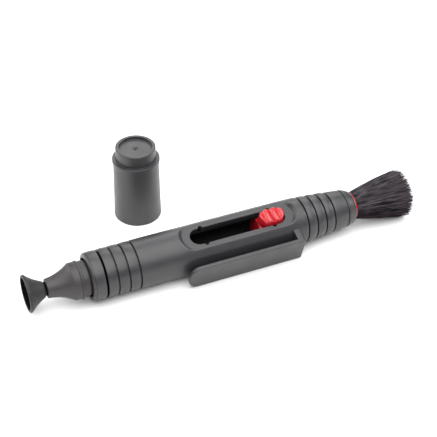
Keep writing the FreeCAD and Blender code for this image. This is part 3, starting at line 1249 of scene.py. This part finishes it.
def eased_ramp(share: float, ease: float) -> float:
    """A straight ramp from 0 to 1 whose two ends are rounded.

    Args:
        share: Place along the ramp, from 0 to 1.
        ease: Length of each rounding.

    Returns:
        The ramp's height.
    """
    if share < ease:
        return share ** 2 / (2 * ease * (1 - ease))
    if share > 1 - ease:
        return 1 - (1 - share) ** 2 / (2 * ease * (1 - ease))
    return (share - ease / 2) / (1 - ease)


# ---- Nose, tip, collar and mouth ----
@dataclass
class FrontEnd:
    """The collar, the nose, its snap ring and the flared cleaning tip."""

    bench: Bench
    collar_face: float = -4.5
    collar_floor: float = -3.1
    lip: float = 6.95
    lip_length: float = 0.8
    lip_fall: float = 0.08
    lip_start: Point = (0.05, 0.12)
    lip_bulge: Point = (0.27, 0.36)
    line_depth: float = 0.2
    line_steps: Triple = (0.04, 0.14, 0.18)
    recess: float = 6.45
    nose_base: float = 5.6
    bore: float = 5.45
    barrel: float = 8.0
    joint_radius: float = 7.1
    crown: float = 0.1
    gap: float = 0.36
    # Reach of the painted shade in the joint, in the collar's recess and behind the bell.
    edge_margin: float = 0.05
    recess_fade: float = 0.3
    bell_shade: Point = (0.42, 0.1)
    nose_start: float = -18.2
    head: Point = (0.35, 2.2)
    foot: Point = (0.45, 3.1)
    throat: Point = (0.9, 3.2)
    waist: Point = (-13.7, 3.95)
    bulb: Point = (-9.6, 6.05)
    snap: Point = (-7.5, -6.8)
    snap_floor: float = 5.5
    snap_ring: float = 6.25
    behind_snap: float = 5.85
    base_steps: Point = (1.9, 2.4)
    spigot: Point = (-9.5, 2.6)
    stem: float = 1.3
    tip_front: float = -24.4
    tip_rim: float = -23.6
    tip_radius: float = 6.1
    pad: Point = (-24.25, -23.6)
    pad_radius: float = 5.3
    tip_waist: Point = (-21.4, 4.22)
    neck: Point = (-18.6, 2.65)
    plug_drop: float = 0.6
    dish: Point = (0.4, 0.3)
    dish_edge: Point = (0.05, 0.25)
    pad_side: float = 0.2

    def collar(self) -> list[Corner]:
        """Section of the collar, with its conical lip and a fine line behind it.

        Returns:
            The section's corners in order.
        """
        face = self.collar_face
        shoulder = (face + self.lip_length, self.barrel - self.lip_fall)
        corners = [
            Corner(self.collar_floor, self.bore),
            Corner(self.collar_floor, self.recess, 0.1),
            Corner(face, self.recess, 0.08),
            Corner(face, self.lip, 0.12),
        ]
        start = (face + self.lip_start[0], self.lip + self.lip_start[1])
        middle = (face + self.lip_bulge[0], self.barrel - self.lip_bulge[1])
        corners += arc_corners(start, middle, shoulder, 8)
        near, far, first = (shoulder[0] + step for step in self.line_steps)
        last, floor = -self.gap, self.barrel - self.line_depth
        corners += [Corner(near, floor, 0.03), Corner(far, floor, 0.03)]
        for share in evenly(-1.0, 1.0, BAND_STEPS)[:-1]:
            along = (first + last + share * (last - first)) / 2
            corners.append(Corner(along, self.barrel - self.crown * share ** 2))
        return corners + [
            Corner(last, self.barrel - self.crown, 0.08),
            Corner(last, self.joint_radius, JOINT_FILLET),
            Corner(0.0, self.joint_radius),
            Corner(0.0, self.bore),
        ]

    def nose(self) -> list[Corner]:
        """Section of the nose: a waist, a bulb, the snap groove and the base.

        Returns:
            The section's corners in order.
        """
        start, (low, high) = self.nose_start, self.snap
        throat = (start + self.throat[0], self.throat[1])
        corners = [
            Corner(start, self.stem),
            Corner(start, self.head[1], 0.1),
            Corner(start + self.head[0], self.head[1], 0.1),
            Corner(start + self.foot[0], self.foot[1], 0.15),
            Corner(*throat),
        ]
        corners += arc_corners(throat, self.waist, self.bulb, ARC_STEPS)
        return corners + [
            Corner(low, self.bulb[1], 0.15),
            Corner(low, self.snap_floor, 0.05),
            Corner(high, self.snap_floor, 0.05),
            Corner(high, self.behind_snap, 0.12),
            Corner(high + self.base_steps[0], self.behind_snap, 0.3),
            Corner(high + self.base_steps[1], self.nose_base, 0.3),
            Corner(self.collar_floor, self.nose_base),
            Corner(self.collar_floor, self.spigot[1]),
            Corner(self.spigot[0], self.spigot[1]),
            Corner(self.spigot[0], self.stem),
        ]

    def ring(self) -> list[Corner]:
        """Section of the snap ring that holds the cap.

        Returns:
            The section's corners in order.
        """
        (low, high), floor, top = self.snap, self.snap_floor, self.snap_ring
        return [
            Corner(low, floor), Corner(low, top, 0.2), Corner(high, top, 0.2),
            Corner(high, floor)]

    def tip(self) -> list[Corner]:
        """Section of the rubber bell.

        Returns:
            The section's corners in order.
        """
        rim = (self.tip_rim, self.tip_radius)
        corners = [
            Corner(self.pad[1], 0.0),
            Corner(self.pad[1], self.pad_radius),
            Corner(self.tip_front, self.pad_radius, 0.12),
            Corner(self.tip_front, self.tip_radius, 0.3),
            Corner(*rim, 0.1),
        ]
        start = (rim[0] + 0.05, rim[1] - 0.12)
        corners += arc_corners(start, self.tip_waist, self.neck, ARC_STEPS)
        return corners + [
            Corner(self.nose_start, self.neck[1] - self.plug_drop, 0.1),
            Corner(self.nose_start, 0.0)]

    def pad_face(self) -> list[Corner]:
        """Section of the carbon pad, whose face is slightly dished.

        Returns:
            The section's corners in order.
        """
        front, back = self.pad
        out = self.pad_radius
        centre, middle = (front + self.dish[0], 0.0), (front + self.dish[1], out / 2)
        edge = (front + self.dish_edge[0], out - self.dish_edge[1])
        return [
            Corner(*centre), *arc_corners(centre, middle, edge, 10),
            Corner(front + self.pad_side, out, 0.1), Corner(back, out), Corner(back, 0.0)]

    def gap_shade(self, point: Vector) -> float:
        """How much painted shade a point of the collar gets, from how far it lies in the joint or
        in the recess.

        Args:
            point: A point of the collar, in stations.

        Returns:
            1 or more in the gap, 0 or less outside it.
        """
        out = math.hypot(point.y, point.z)
        margin = self.edge_margin
        if point.x > -self.gap - margin:
            return (self.barrel - SHADE_FROM - out) / SHADE_RUN
        return (self.recess + margin - out) / margin

    def end_shade(self, point: Vector) -> float:
        """How much painted shade a point of the nose gets, from how far it lies in the collar's
        recess or behind the bell.

        Args:
            point: A point of the nose, in stations.

        Returns:
            1 or more in the dark, 0 or less outside it.
        """
        reach, fade = self.bell_shade
        in_recess = (point.x - self.collar_face) / self.recess_fade
        behind_bell = (self.nose_start + reach - point.x) / fade
        return max(in_recess, behind_bell)

    def build(self) -> None:
        """Make the five pieces and dress the hidden stem."""
        make, pen = self.bench.turned, self.bench.on_pen()
        make("tip_collar", self.collar(), pen, "grey_plastic", Body.PEN, True, WIDE_SEGMENTS,
             self.gap_shade)
        make("nose_cone", self.nose(), pen, "nose_plastic", Body.PEN, True, SEGMENTS,
             self.end_shade)
        make("cap_snap_ring", self.ring(), pen, "nose_plastic", Body.PEN, True)
        make("cleaning_tip", self.tip(), pen, "tip_rubber", Body.PEN)
        make("tip_pad", self.pad_face(), pen, "carbon_pad", Body.PEN)
        self.bench.redress("tip_stem", "inner_plastic")


@dataclass
class Mouth:
    """The domed ring that closes the barrel round the brush."""

    bench: Bench
    start: float = 80.0
    barrel_end: float = 85.3
    head: float = 85.7
    end: float = 88.9
    back: float = 6.4
    neck: float = 6.0
    lip: float = 5.05
    foot: float = 5.45
    bore: float = 4.85

    def build(self) -> None:
        """Make the ring with its flat step and rolled lip."""
        start = (self.head + 0.25, self.back - 0.02)
        middle = (self.head + 1.9, self.back - 0.5)
        dome = arc_corners(start, middle, (self.end - 0.05, self.lip + 0.15))
        corners = [
            Corner(self.start, self.bore),
            Corner(self.start, self.foot, 0.1),
            Corner(self.barrel_end, self.foot),
            Corner(self.barrel_end, self.neck),
            Corner(self.head, self.neck),
            Corner(self.head, self.back, 0.15),
            *dome,
            Corner(self.end, self.lip, 0.08),
            Corner(self.end - 0.3, self.bore, 0.15),
        ]
        self.bench.turned(
            "mouth_ring", corners, self.bench.on_pen(), "grey_plastic", Body.PEN, True)


# ---- Clip ----
@dataclass
class Clip:
    """The pocket clip: a springy arm on a root block moulded to the barrel."""

    bench: Bench
    start: float = 26.2
    root: Point = (64.0, 66.4)
    inner: float = 9.85
    outer: float = 11.2
    half_width: float = 4.95
    corner: float = 3.6
    root_corner: float = 0.7
    arm_steps: tuple[int, int] = (6, 10)
    root_steps: tuple[int, int] = (1, 6)
    fillet: float = 0.28
    support: float = 0.2
    seat: float = 5.8
    bead: Point = (31.0, 2.2)
    bead_rise: float = 1.45
    bead_squareness: int = 7
    bead_rows: int = 16
    bead_segments: int = 28

    def levels(self, low: float, high: float, round_low: bool) -> list[Point]:
        """Heights and insets of the loops up the clip's thickness.

        Args:
            low: Height of the lower face.
            high: Height of the upper face.
            round_low: Whether the lower edge is rounded as well.

        Returns:
            Pairs of height and inset, from the lower face up.
        """
        r, spare = self.fillet, self.support
        turns = evenly(0.0, math.pi / 2, EDGE_STEPS)
        top = [(high - r + r * math.sin(t), r - r * math.cos(t)) for t in turns]
        upper = [(high - r - spare, 0.0), *top, (high, r + spare)]
        if not round_low:
            return [(low, 0.0), *upper]
        lower = [(low + high - height, inset) for height, inset in upper]
        return lower[::-1] + upper

    def outline(
        self, end: float, corner: float, towards: int, steps: tuple[int, int], level: Point
    ) -> list[Triple]:
        """Outline at one height, square where arm and root meet and rounded at its end.

        Args:
            end: Station of the rounded end.
            corner: Radius of the end's two corners.
            towards: 1 when the end lies towards the brush, -1 when it lies towards the tip.
            steps: Number of steps along a side and round a corner.
            level: Height of the outline, and how far it is drawn in.

        Returns:
            The outline's points, round once.
        """
        height, inset = level
        square = self.root[0] + towards * max(0.0, inset - self.fillet)
        centre, side, radius = end - towards * corner, self.half_width - corner, corner - inset
        points = [(x, inset - self.half_width) for x in evenly(square, centre, steps[0])[:-1]]
        points += [
            (centre + towards * radius * math.sin(t), -side - radius * math.cos(t))
            for t in evenly(0.0, math.pi / 2, steps[1])]
        return [(x, y, height) for x, y in points + [(x, -y) for x, y in points[::-1]]]

    def slab(self, loops: Sequence[Sequence[Triple]]) -> Skin:
        """Close a stack of loops.

        Args:
            loops: The loops, from the lower face up.

        Returns:
            The closed skin.
        """
        skin = Skin()
        skin.strip(loops)
        skin.lid(loops[0])
        skin.lid(loops[-1])
        return skin

    def bead_loops(self) -> list[list[Triple]]:
        """Loops across the round bead that grips the pocket's edge.

        Returns:
            The loops in order.
        """
        station, radius = self.bead
        centre = self.inner + radius - self.bead_rise
        reach = self.half_width / 2
        loops = []
        for share in evenly(-1.0, 1.0, self.bead_rows):
            across = reach * math.sin(share * math.pi / 2)
            size = radius * math.sqrt(max(0.0, 1 - abs(share) ** self.bead_squareness))
            turns = evenly(0.0, math.tau, self.bead_segments)[:-1]
            loops.append([
                (station + size * math.cos(t), across, centre + min(size * math.sin(t), 0.0))
                for t in turns])
        return loops

    def build(self) -> None:
        """Make the arm with its bead, and the root."""
        place = self.bench.on_pen(self.bench.panel_tilt + math.pi / 2)
        arm = self.slab([
            self.outline(self.start, self.corner, -1, self.arm_steps, level)
            for level in self.levels(self.inner, self.outer, True)])
        arm.strip(self.bead_loops())
        root = self.slab([
            self.outline(self.root[1], self.root_corner, 1, self.root_steps, level)
            for level in self.levels(self.seat, self.outer, False)])
        for node, skin, body in (
            ("clip_arm", arm, Body.CLIP), ("clip_root", root, Body.PEN),
        ):
            self.bench.stand_in(node, skin.mesh(node + FINE), place, "grey_plastic", body)


# ---- Brush slider ----
@dataclass
class ThumbButton:
    """The red button: four soft lobes with three grooves between them."""

    bench: Bench
    span: Point = (53.95, 62.75)
    floor: float = 5.55
    crown: float = 8.36
    base_half_width: float = 2.85
    top_half_width: float = 2.62
    grooves: Point = (55.8, 60.8)
    pitch: float = 2.5
    groove_depth: float = 0.85
    dome: float = 0.35
    edge: float = 0.45
    end_drop: float = 0.5
    end_power: float = 1.6
    lobe_power: float = 0.4
    end_steps: int = 24
    side_steps: int = 64
    edge_steps: int = 6
    side_shares: Triple = (0.3, 0.75, 1.0)
    top_shares: tuple[float, ...] = (0.93, 0.8, 0.6, 0.4, 0.2, 0.0)

    def top_at(self, along: float, across: float) -> float:
        """Height of the button's top.

        Args:
            along: Station of the place.
            across: Distance from the button's middle line.

        Returns:
            The height above the pen's axis.
        """
        phase = math.sin(math.pi * (along - self.grooves[0]) / self.pitch) ** 2
        lobe = phase ** self.lobe_power
        outside = max(self.grooves[0] - along - self.pitch / 2, 0.0)
        outside = max(outside, along - self.grooves[1] - self.pitch / 2)
        lobe = 1.0 if outside > 0 else lobe
        drop = self.end_drop * outside ** self.end_power
        bow = self.dome * (across / self.base_half_width) ** 2
        return self.crown - self.groove_depth * (1 - lobe) - drop - bow

    def loops(self) -> list[list[Triple]]:
        """Loops from the button's foot, up its drafted side and over its top.

        Returns:
            The loops in order.
        """
        ends = evenly(-math.pi / 2, math.pi / 2, self.end_steps)
        sides = evenly(0.0, 1.0, self.side_steps)[1:-1]
        near, far = self.span[0] + self.base_half_width, self.span[1] - self.base_half_width
        foot = stadium(near, far, self.base_half_width, ends, sides)
        loops = [[(x, y, self.floor) for x, y in foot]]
        wide = self.top_half_width
        for share in self.side_shares:
            width = self.base_half_width + (wide - self.base_half_width) * share
            ring = stadium(near, far, width, ends, sides)
            loops.append([
                (x, y, self.floor + share * (self.top_at(x, y) - self.edge - self.floor))
                for x, y in ring])
        for angle in evenly(0.0, math.pi / 2, self.edge_steps)[1:]:
            width = wide - self.edge * (1 - math.cos(angle))
            sink = self.edge * (1 - math.sin(angle))
            ring = stadium(near, far, width, ends, sides)
            loops.append([(x, y, self.top_at(x, y) - sink) for x, y in ring])
        for share in self.top_shares:
            ring = stadium(near, far, (wide - self.edge) * share, ends, sides)
            loops.append([(x, y, self.top_at(x, y)) for x, y in ring])
        return loops

    def build(self) -> None:
        """Make the button."""
        loops = self.loops()
        skin = Skin()
        skin.strip(loops)
        skin.lid(loops[0])
        place = self.bench.on_pen(self.bench.panel_tilt)
        mesh = skin.mesh("thumb_button" + FINE)
        self.bench.stand_in("thumb_button", mesh, place, "red_plastic", Body.BRUSH)


@dataclass
class Brush:
    """The retractable brush: its carriage, red holder and flared tuft of bristles."""

    bench: Bench
    holder_end: float = 89.4
    holder_radius: float = 4.77
    holder_start: float = 71.0
    shoulder: float = 77.0
    peg_radius: float = 2.5
    socket: Point = (79.5, 4.45)
    root: float = 84.0
    root_radius: float = 4.4
    tip: float = 110.8
    tip_radius: float = 8.5
    flare_power: float = 0.8
    hair_radius: float = 0.085
    hair_taper: float = 0.45
    hair_points: int = 10
    hairs: int = 4800
    crowding: float = 0.44
    ragged: float = 0.08
    short_rarity: float = 7.0
    short_by: float = 0.15
    dome: float = 0.06
    stray: Point = (-0.7, 0.4)
    waves: float = 7.0
    wave_size: float = 0.28
    clumps: float = 4.0
    clump_pull: float = 0.55
    lean: float = 0.06
    sectors: int = 16
    seed: int = 11
    packed_share: float = 0.5

    def holder(self) -> None:
        """Make the red tube that grips the tuft."""
        self.bench.turned("brush_holder", [
            Corner(self.holder_start, 0.0),
            Corner(self.holder_start, self.peg_radius, 0.2),
            Corner(self.shoulder, self.peg_radius),
            Corner(self.shoulder, self.holder_radius, 0.15),
            Corner(self.holder_end, self.holder_radius, 0.12),
            Corner(self.holder_end, self.socket[1], 0.12),
            Corner(self.socket[0], self.socket[1]),
            Corner(self.socket[0], 0.0),
        ], self.bench.on_pen(), "red_plastic", Body.BRUSH)

    def hair_tree(self) -> ShapeTree:
        """Build the tree that grows one sector of the tuft.

        Returns:
            The tree.
        """
        whole = ("Hairs", "Seed")
        parts = (
            "Hairs", "Root Station", "Flare Station", "Tip Station", "Root Radius",
            "Tip Radius", "Flare Power", "Hair Radius", "Sector Start", "Sector Angle",
            "Table Height", "Seed")
        tree = ShapeTree("bristle_sector", [
            (name, "NodeSocketInt" if name in whole else "NodeSocketFloat")
            for name in parts])
        sketch, given = tree.sketch, tree.given

        plus, minus, times, power = sketch.plus, sketch.minus, sketch.times, sketch.power

        def chance(low: float, high: float, offset: int) -> Any:
            """A random number for each hair.

            Args:
                low: The least that it can be.
                high: The most that it can be.
                offset: Sets this number apart from the hair's others.

            Returns:
                The socket with the number.
            """
            seed = plus(given("Seed"), float(offset))
            node = sketch.add("FunctionNodeRandomValue", {
                2: low, 3: high, "ID": hair, "Seed": seed}, data_type="FLOAT")
            return node.outputs[1]

        line = sketch.add("GeometryNodeCurvePrimitiveLine", {"End": (1.0, 0.0, 0.0)})
        even = sketch.add("GeometryNodeResampleCurve", {
            "Curve": line.outputs[0], "Count": self.hair_points})
        copies = sketch.add("GeometryNodeDuplicateElements", {
            "Geometry": even.outputs[0], "Amount": given("Hairs")}, domain="SPLINE")
        numbered = sketch.add("GeometryNodeStoreNamedAttribute", {
            "Geometry": copies.outputs[0], "Name": "hair", "Value": copies.outputs[1],
        }, data_type="INT", domain="CURVE")
        named = sketch.add("GeometryNodeInputNamedAttribute", {"Name": "hair"}, data_type="INT")
        hair = named.outputs[0]
        along = sketch.add("GeometryNodeSplineParameter").outputs["Factor"]

        spread = power(chance(0.0, 1.0, 1), self.crowding)
        ragged = minus(1.0, times(chance(0.0, 1.0, 2), self.ragged))
        short = times(power(chance(0.0, 1.0, 3), self.short_rarity), self.short_by)
        dome = times(power(spread, 4.0), self.dome)
        reach = minus(minus(ragged, short), dome)
        went = times(along, reach)
        root, flare_start, tip = (
            given(name + " Station") for name in ("Root", "Flare", "Tip"))
        station = plus(root, times(minus(tip, root), went))
        opened = sketch.over(minus(station, flare_start), minus(tip, flare_start))
        opened = sketch.math("MAXIMUM", opened, 0.0)
        growth = minus(given("Tip Radius"), given("Root Radius"))
        wide = plus(
            given("Root Radius"), times(growth, power(opened, given("Flare Power"))))
        stray = times(chance(*self.stray, 4), power(opened, 2.0))
        phase = chance(0.0, math.tau, 5)
        wave = sketch.math("SINE", plus(times(along, self.waves), phase))
        bend = times(times(wave, opened), self.wave_size)
        radius = plus(plus(times(spread, wide), stray), bend)
        radius = sketch.math("MAXIMUM", radius, 0.0)
        radius = sketch.math("MINIMUM", radius, given("Tip Radius"))
        share = chance(0.0, 1.0, 6)
        clump = sketch.math("FLOOR", times(share, self.clumps))
        centre = sketch.over(plus(clump, 0.5), self.clumps)
        share = plus(share, times(minus(centre, share), times(went, self.clump_pull)))
        lean = times(chance(-self.lean, self.lean, 7), went)
        turn = plus(times(share, given("Sector Angle")), lean)
        turn = plus(turn, given("Sector Start"))
        across = times(radius, sketch.math("COSINE", turn))
        up = times(radius, sketch.math("SINE", turn))
        up = sketch.math("MAXIMUM", up, given("Table Height"))
        placed = sketch.add("GeometryNodeSetPosition", {
            "Geometry": numbered.outputs[0], "Position": sketch.vector(station, across, up)})
        thick = times(given("Hair Radius"), minus(1.0, times(along, self.hair_taper)))
        shaded = self.remember(sketch, placed.outputs[0], HAIR_SHADE, chance(0.0, 1.0, 8))
        marked = self.remember(sketch, shaded, HAIR_ALONG, along)
        section = sketch.add("GeometryNodeCurvePrimitiveCircle", {"Resolution": 3, "Radius": 1.0})
        swept = sketch.add("GeometryNodeCurveToMesh", {
            "Curve": marked, "Profile Curve": section.outputs[0], "Scale": thick,
            "Fill Caps": True})
        tree.close(swept.outputs[0])
        return tree

    def remember(self, sketch: Sketch, curve: Any, name: str, value: Any) -> Any:
        """Store a number on each point of the hairs and return the geometry.

        Args:
            sketch: The tree's nodes.
            curve: The socket with the hairs.
            name: Name of the attribute.
            value: The socket with the number.

        Returns:
            The socket with the hairs and their number.
        """
        node = sketch.add("GeometryNodeStoreNamedAttribute", {
            "Geometry": curve, "Name": name, "Value": value}, data_type="FLOAT", domain="POINT")
        return node.outputs[0]

    def tuft(self) -> None:
        """Grow the tuft in sectors, each made as its own piece."""
        tree = self.hair_tree()
        step = math.tau / self.sectors
        for index in range(self.sectors):
            name = f"bristles_{index + 1:02d}"
            seed_mesh = bpy.data.meshes.new(name + "_seed")
            mesh = tree.mesh(name, seed_mesh, {
                "Hairs": self.hairs // self.sectors,
                "Root Station": self.root,
                "Flare Station": self.holder_end + 0.1,
                "Tip Station": self.tip,
                "Root Radius": self.root_radius,
                "Tip Radius": self.tip_radius,
                "Flare Power": self.flare_power,
                "Hair Radius": self.hair_radius,
                "Sector Start": index * step,
                "Sector Angle": step,
                "Table Height": self.bench.table + 2 * self.hair_radius,
                "Seed": self.seed * (index + 1),
                "Material": self.bench.materials["bristle_hair"],
            })
            stands_for = "bristles" if index == 0 else None
            bundle = self.bench.finished(
                name, mesh, self.bench.on_pen(), "bristle_hair", Body.BRUSH, stands_for)
            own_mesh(bundle)

    def build(self) -> None:
        """Make the holder and the tuft, and dress the pieces that stay."""
        self.holder()
        self.tuft()
        self.bench.redress("brush_carriage", "red_plastic")
        self.bench.redress("bristle_knot", "knot_resin")
        self.bench.redress("detent_spring", "spring_steel")


# ---- Cap ----
@dataclass
class Cap:
    """The loose cap: a drafted shell closed by a stepped, dished plug."""

    bench: Bench
    open_radius: float = 8.05
    top_radius: float = 7.7
    bore: float = 6.9
    shell_height: float = 21.9
    flange: Point = (23.2, 8.0)
    boss: Point = (27.65, 6.75)
    dish: Point = (0.9, 5.55)
    gate: Point = (0.2, 0.4)
    dimple: Triple = (0.25, 0.85, 0.95)
    pad_radius: float = 6.4
    skirt: float = 20.2

    def shell(self) -> list[Corner]:
        """Section of the drafted shell.

        Returns:
            The section's corners in order.
        """
        return [
            Corner(0.0, self.bore, 0.12),
            Corner(0.0, self.open_radius - 0.04, 0.35),
            Corner(self.shell_height, self.top_radius, 0.15),
            Corner(self.shell_height, self.bore),
        ]

    def plug(self) -> list[Corner]:
        """Outline of the plug: its skirt, flange, boss, dish and gate mark.

        Returns:
            The section's corners in order.
        """
        flange_top, flange_out = self.flange
        boss_top, boss_out = self.boss
        floor = boss_top - self.dish[0]
        gate_top = floor + self.gate[0]
        return [
            Corner(self.shell_height, 0.0),
            Corner(self.shell_height, self.pad_radius),
            Corner(self.skirt, self.pad_radius),
            Corner(self.skirt, self.bore, 0.1),
            Corner(self.shell_height, self.bore),
            Corner(self.shell_height, flange_out, 0.12),
            Corner(flange_top, flange_out, 0.2),
            Corner(flange_top, boss_out, 0.1),
            Corner(boss_top, boss_out, 0.34),
            Corner(boss_top, self.dish[1], 0.12),
            Corner(floor, self.dish[1] - 0.1, 0.12),
            Corner(floor, self.dimple[2], 0.1),
            Corner(floor - self.dimple[0], self.dimple[1], 0.1),
            Corner(floor - self.dimple[0], self.gate[1], 0.05),
            Corner(gate_top, self.gate[1], 0.06),
            Corner(gate_top, 0.0),
        ]

    def build(self) -> None:
        """Make the shell and the plug, and dress the liner and the pad."""
        place = self.bench.on_cap()
        self.bench.turned(
            "cap_shell", self.shell(), place, "grey_plastic", Body.CAP, True, WIDE_SEGMENTS)
        self.bench.turned(
            "cap_top", self.plug(), place, "grey_plastic", Body.CAP, False, WIDE_SEGMENTS)
        self.bench.redress("cap_liner", "inner_plastic")
        self.bench.redress("cap_pad", "cap_felt")


# ---- Studio ----
@dataclass(frozen=True)
class SoftBox:
    """A square studio light that points at the pen."""

    name: str
    azimuth: float
    elevation: float
    distance: float
    size: float
    power: float


@dataclass
class Studio:
    """The floor, the lights and the camera."""

    target: Vector = field(default_factory=lambda: Vector((0.031456, 0.02021, -0.008)))
    azimuth: float = -23.97
    elevation: float = 38.74
    distance: float = 0.4128
    roll: float = 0.72
    lens: float = 98.86
    sensor: float = 36.0
    clip: Point = (0.01, 20.0)
    floor_size: float = 3.0
    floor_colour: Colour = (0.9, 0.9, 0.9, 1.0)
    floor_roughness: float = 0.7
    floor_gloss: float = 0.2
    world: float = 0.12
    boxes: tuple[SoftBox, ...] = (
        SoftBox("overhead", -10.0, 74.0, 1.0, 1.5, 28.0),
        SoftBox("back", 156.0, 36.0, 1.4, 0.9, 8.0),
        SoftBox("left", -125.0, 25.0, 0.8, 0.6, 4.0),
        SoftBox("right", 80.0, 30.0, 0.8, 0.4, 2.5),
    )

    def back(self, azimuth: float, elevation: float) -> Vector:
        """Direction from the target towards a viewer or a light, angles in degrees."""
        a, e = math.radians(azimuth), math.radians(elevation)
        return Vector((math.sin(a) * math.cos(e), -math.cos(a) * math.cos(e), math.sin(e)))

    def camera(self) -> None:
        """Place the camera."""
        back = self.back(self.azimuth, self.elevation)
        a, roll = math.radians(self.azimuth), math.radians(self.roll)
        level = Vector((math.cos(a), math.sin(a), 0.0))
        upright = back.cross(level)
        right = level * math.cos(roll) + upright * math.sin(roll)
        up = upright * math.cos(roll) - level * math.sin(roll)
        data = bpy.data.cameras.new("camera")
        data.lens, data.sensor_width = self.lens, self.sensor
        data.clip_start, data.clip_end = self.clip
        camera = bpy.data.objects.new("camera", data)
        turn = Matrix((right, up, back)).transposed()
        camera.matrix_world = Matrix.LocRotScale(
            self.target + back * self.distance, turn.to_quaternion(), None)
        bpy.context.scene.collection.objects.link(camera)
        bpy.context.scene.camera = camera

    def light(self, box: SoftBox) -> None:
        """Place one light.

        Args:
            box: The light's place, size and power.
        """
        data = bpy.data.lights.new(box.name, "AREA")
        data.shape, data.size, data.energy = "SQUARE", box.size, box.power
        lamp = bpy.data.objects.new(box.name, data)
        back = self.back(box.azimuth, box.elevation)
        lamp.matrix_world = Matrix.LocRotScale(
            self.target + back * box.distance, back.to_track_quat("Z", "Y"), None)
        bpy.context.scene.collection.objects.link(lamp)

    def floor(self) -> None:
        """Lay the pale floor under the pen and the cap."""
        half, level = self.floor_size / 2, CAD_BOX[0].z
        corners = [(-half, -half), (half, -half), (half, half), (-half, half)]
        mesh = bpy.data.meshes.new("floor")
        mesh.from_pydata([(x, y, level) for x, y in corners], [], [(0, 1, 2, 3)])
        material = bpy.data.materials.new("floor")
        material.use_nodes = True
        shader = material.node_tree.nodes["Principled BSDF"]
        shader.inputs["Base Color"].default_value = self.floor_colour
        shader.inputs["Roughness"].default_value = self.floor_roughness
        shader.inputs["Specular IOR Level"].default_value = self.floor_gloss
        mesh.materials.append(material)
        floor = bpy.data.objects.new("floor", mesh)
        bpy.context.scene.collection.objects.link(floor)

    def build(self) -> None:
        """Set up the studio."""
        scene = bpy.context.scene
        world = bpy.data.worlds.new("studio")
        world.use_nodes = True
        sky = world.node_tree.nodes["Background"]
        sky.inputs["Color"].default_value = (1.0, 1.0, 1.0, 1.0)
        sky.inputs["Strength"].default_value = self.world
        scene.world = world
        scene.view_settings.view_transform = "Standard"
        self.camera()
        self.floor()
        for box in self.boxes:
            self.light(box)


def main() -> None:
    """Build every sub-assembly in order."""
    logging.basicConfig(level=logging.INFO, format="%(message)s")
    Studio().build()
    bench = Bench()
    for assembly in (
        Barrel(bench), FrontEnd(bench), Mouth(bench), Clip(bench), ThumbButton(bench),
        Brush(bench), Cap(bench),
    ):
        LOG.info("building %s", type(assembly).__name__)
        assembly.build()


if __name__ == "__main__":
    main()
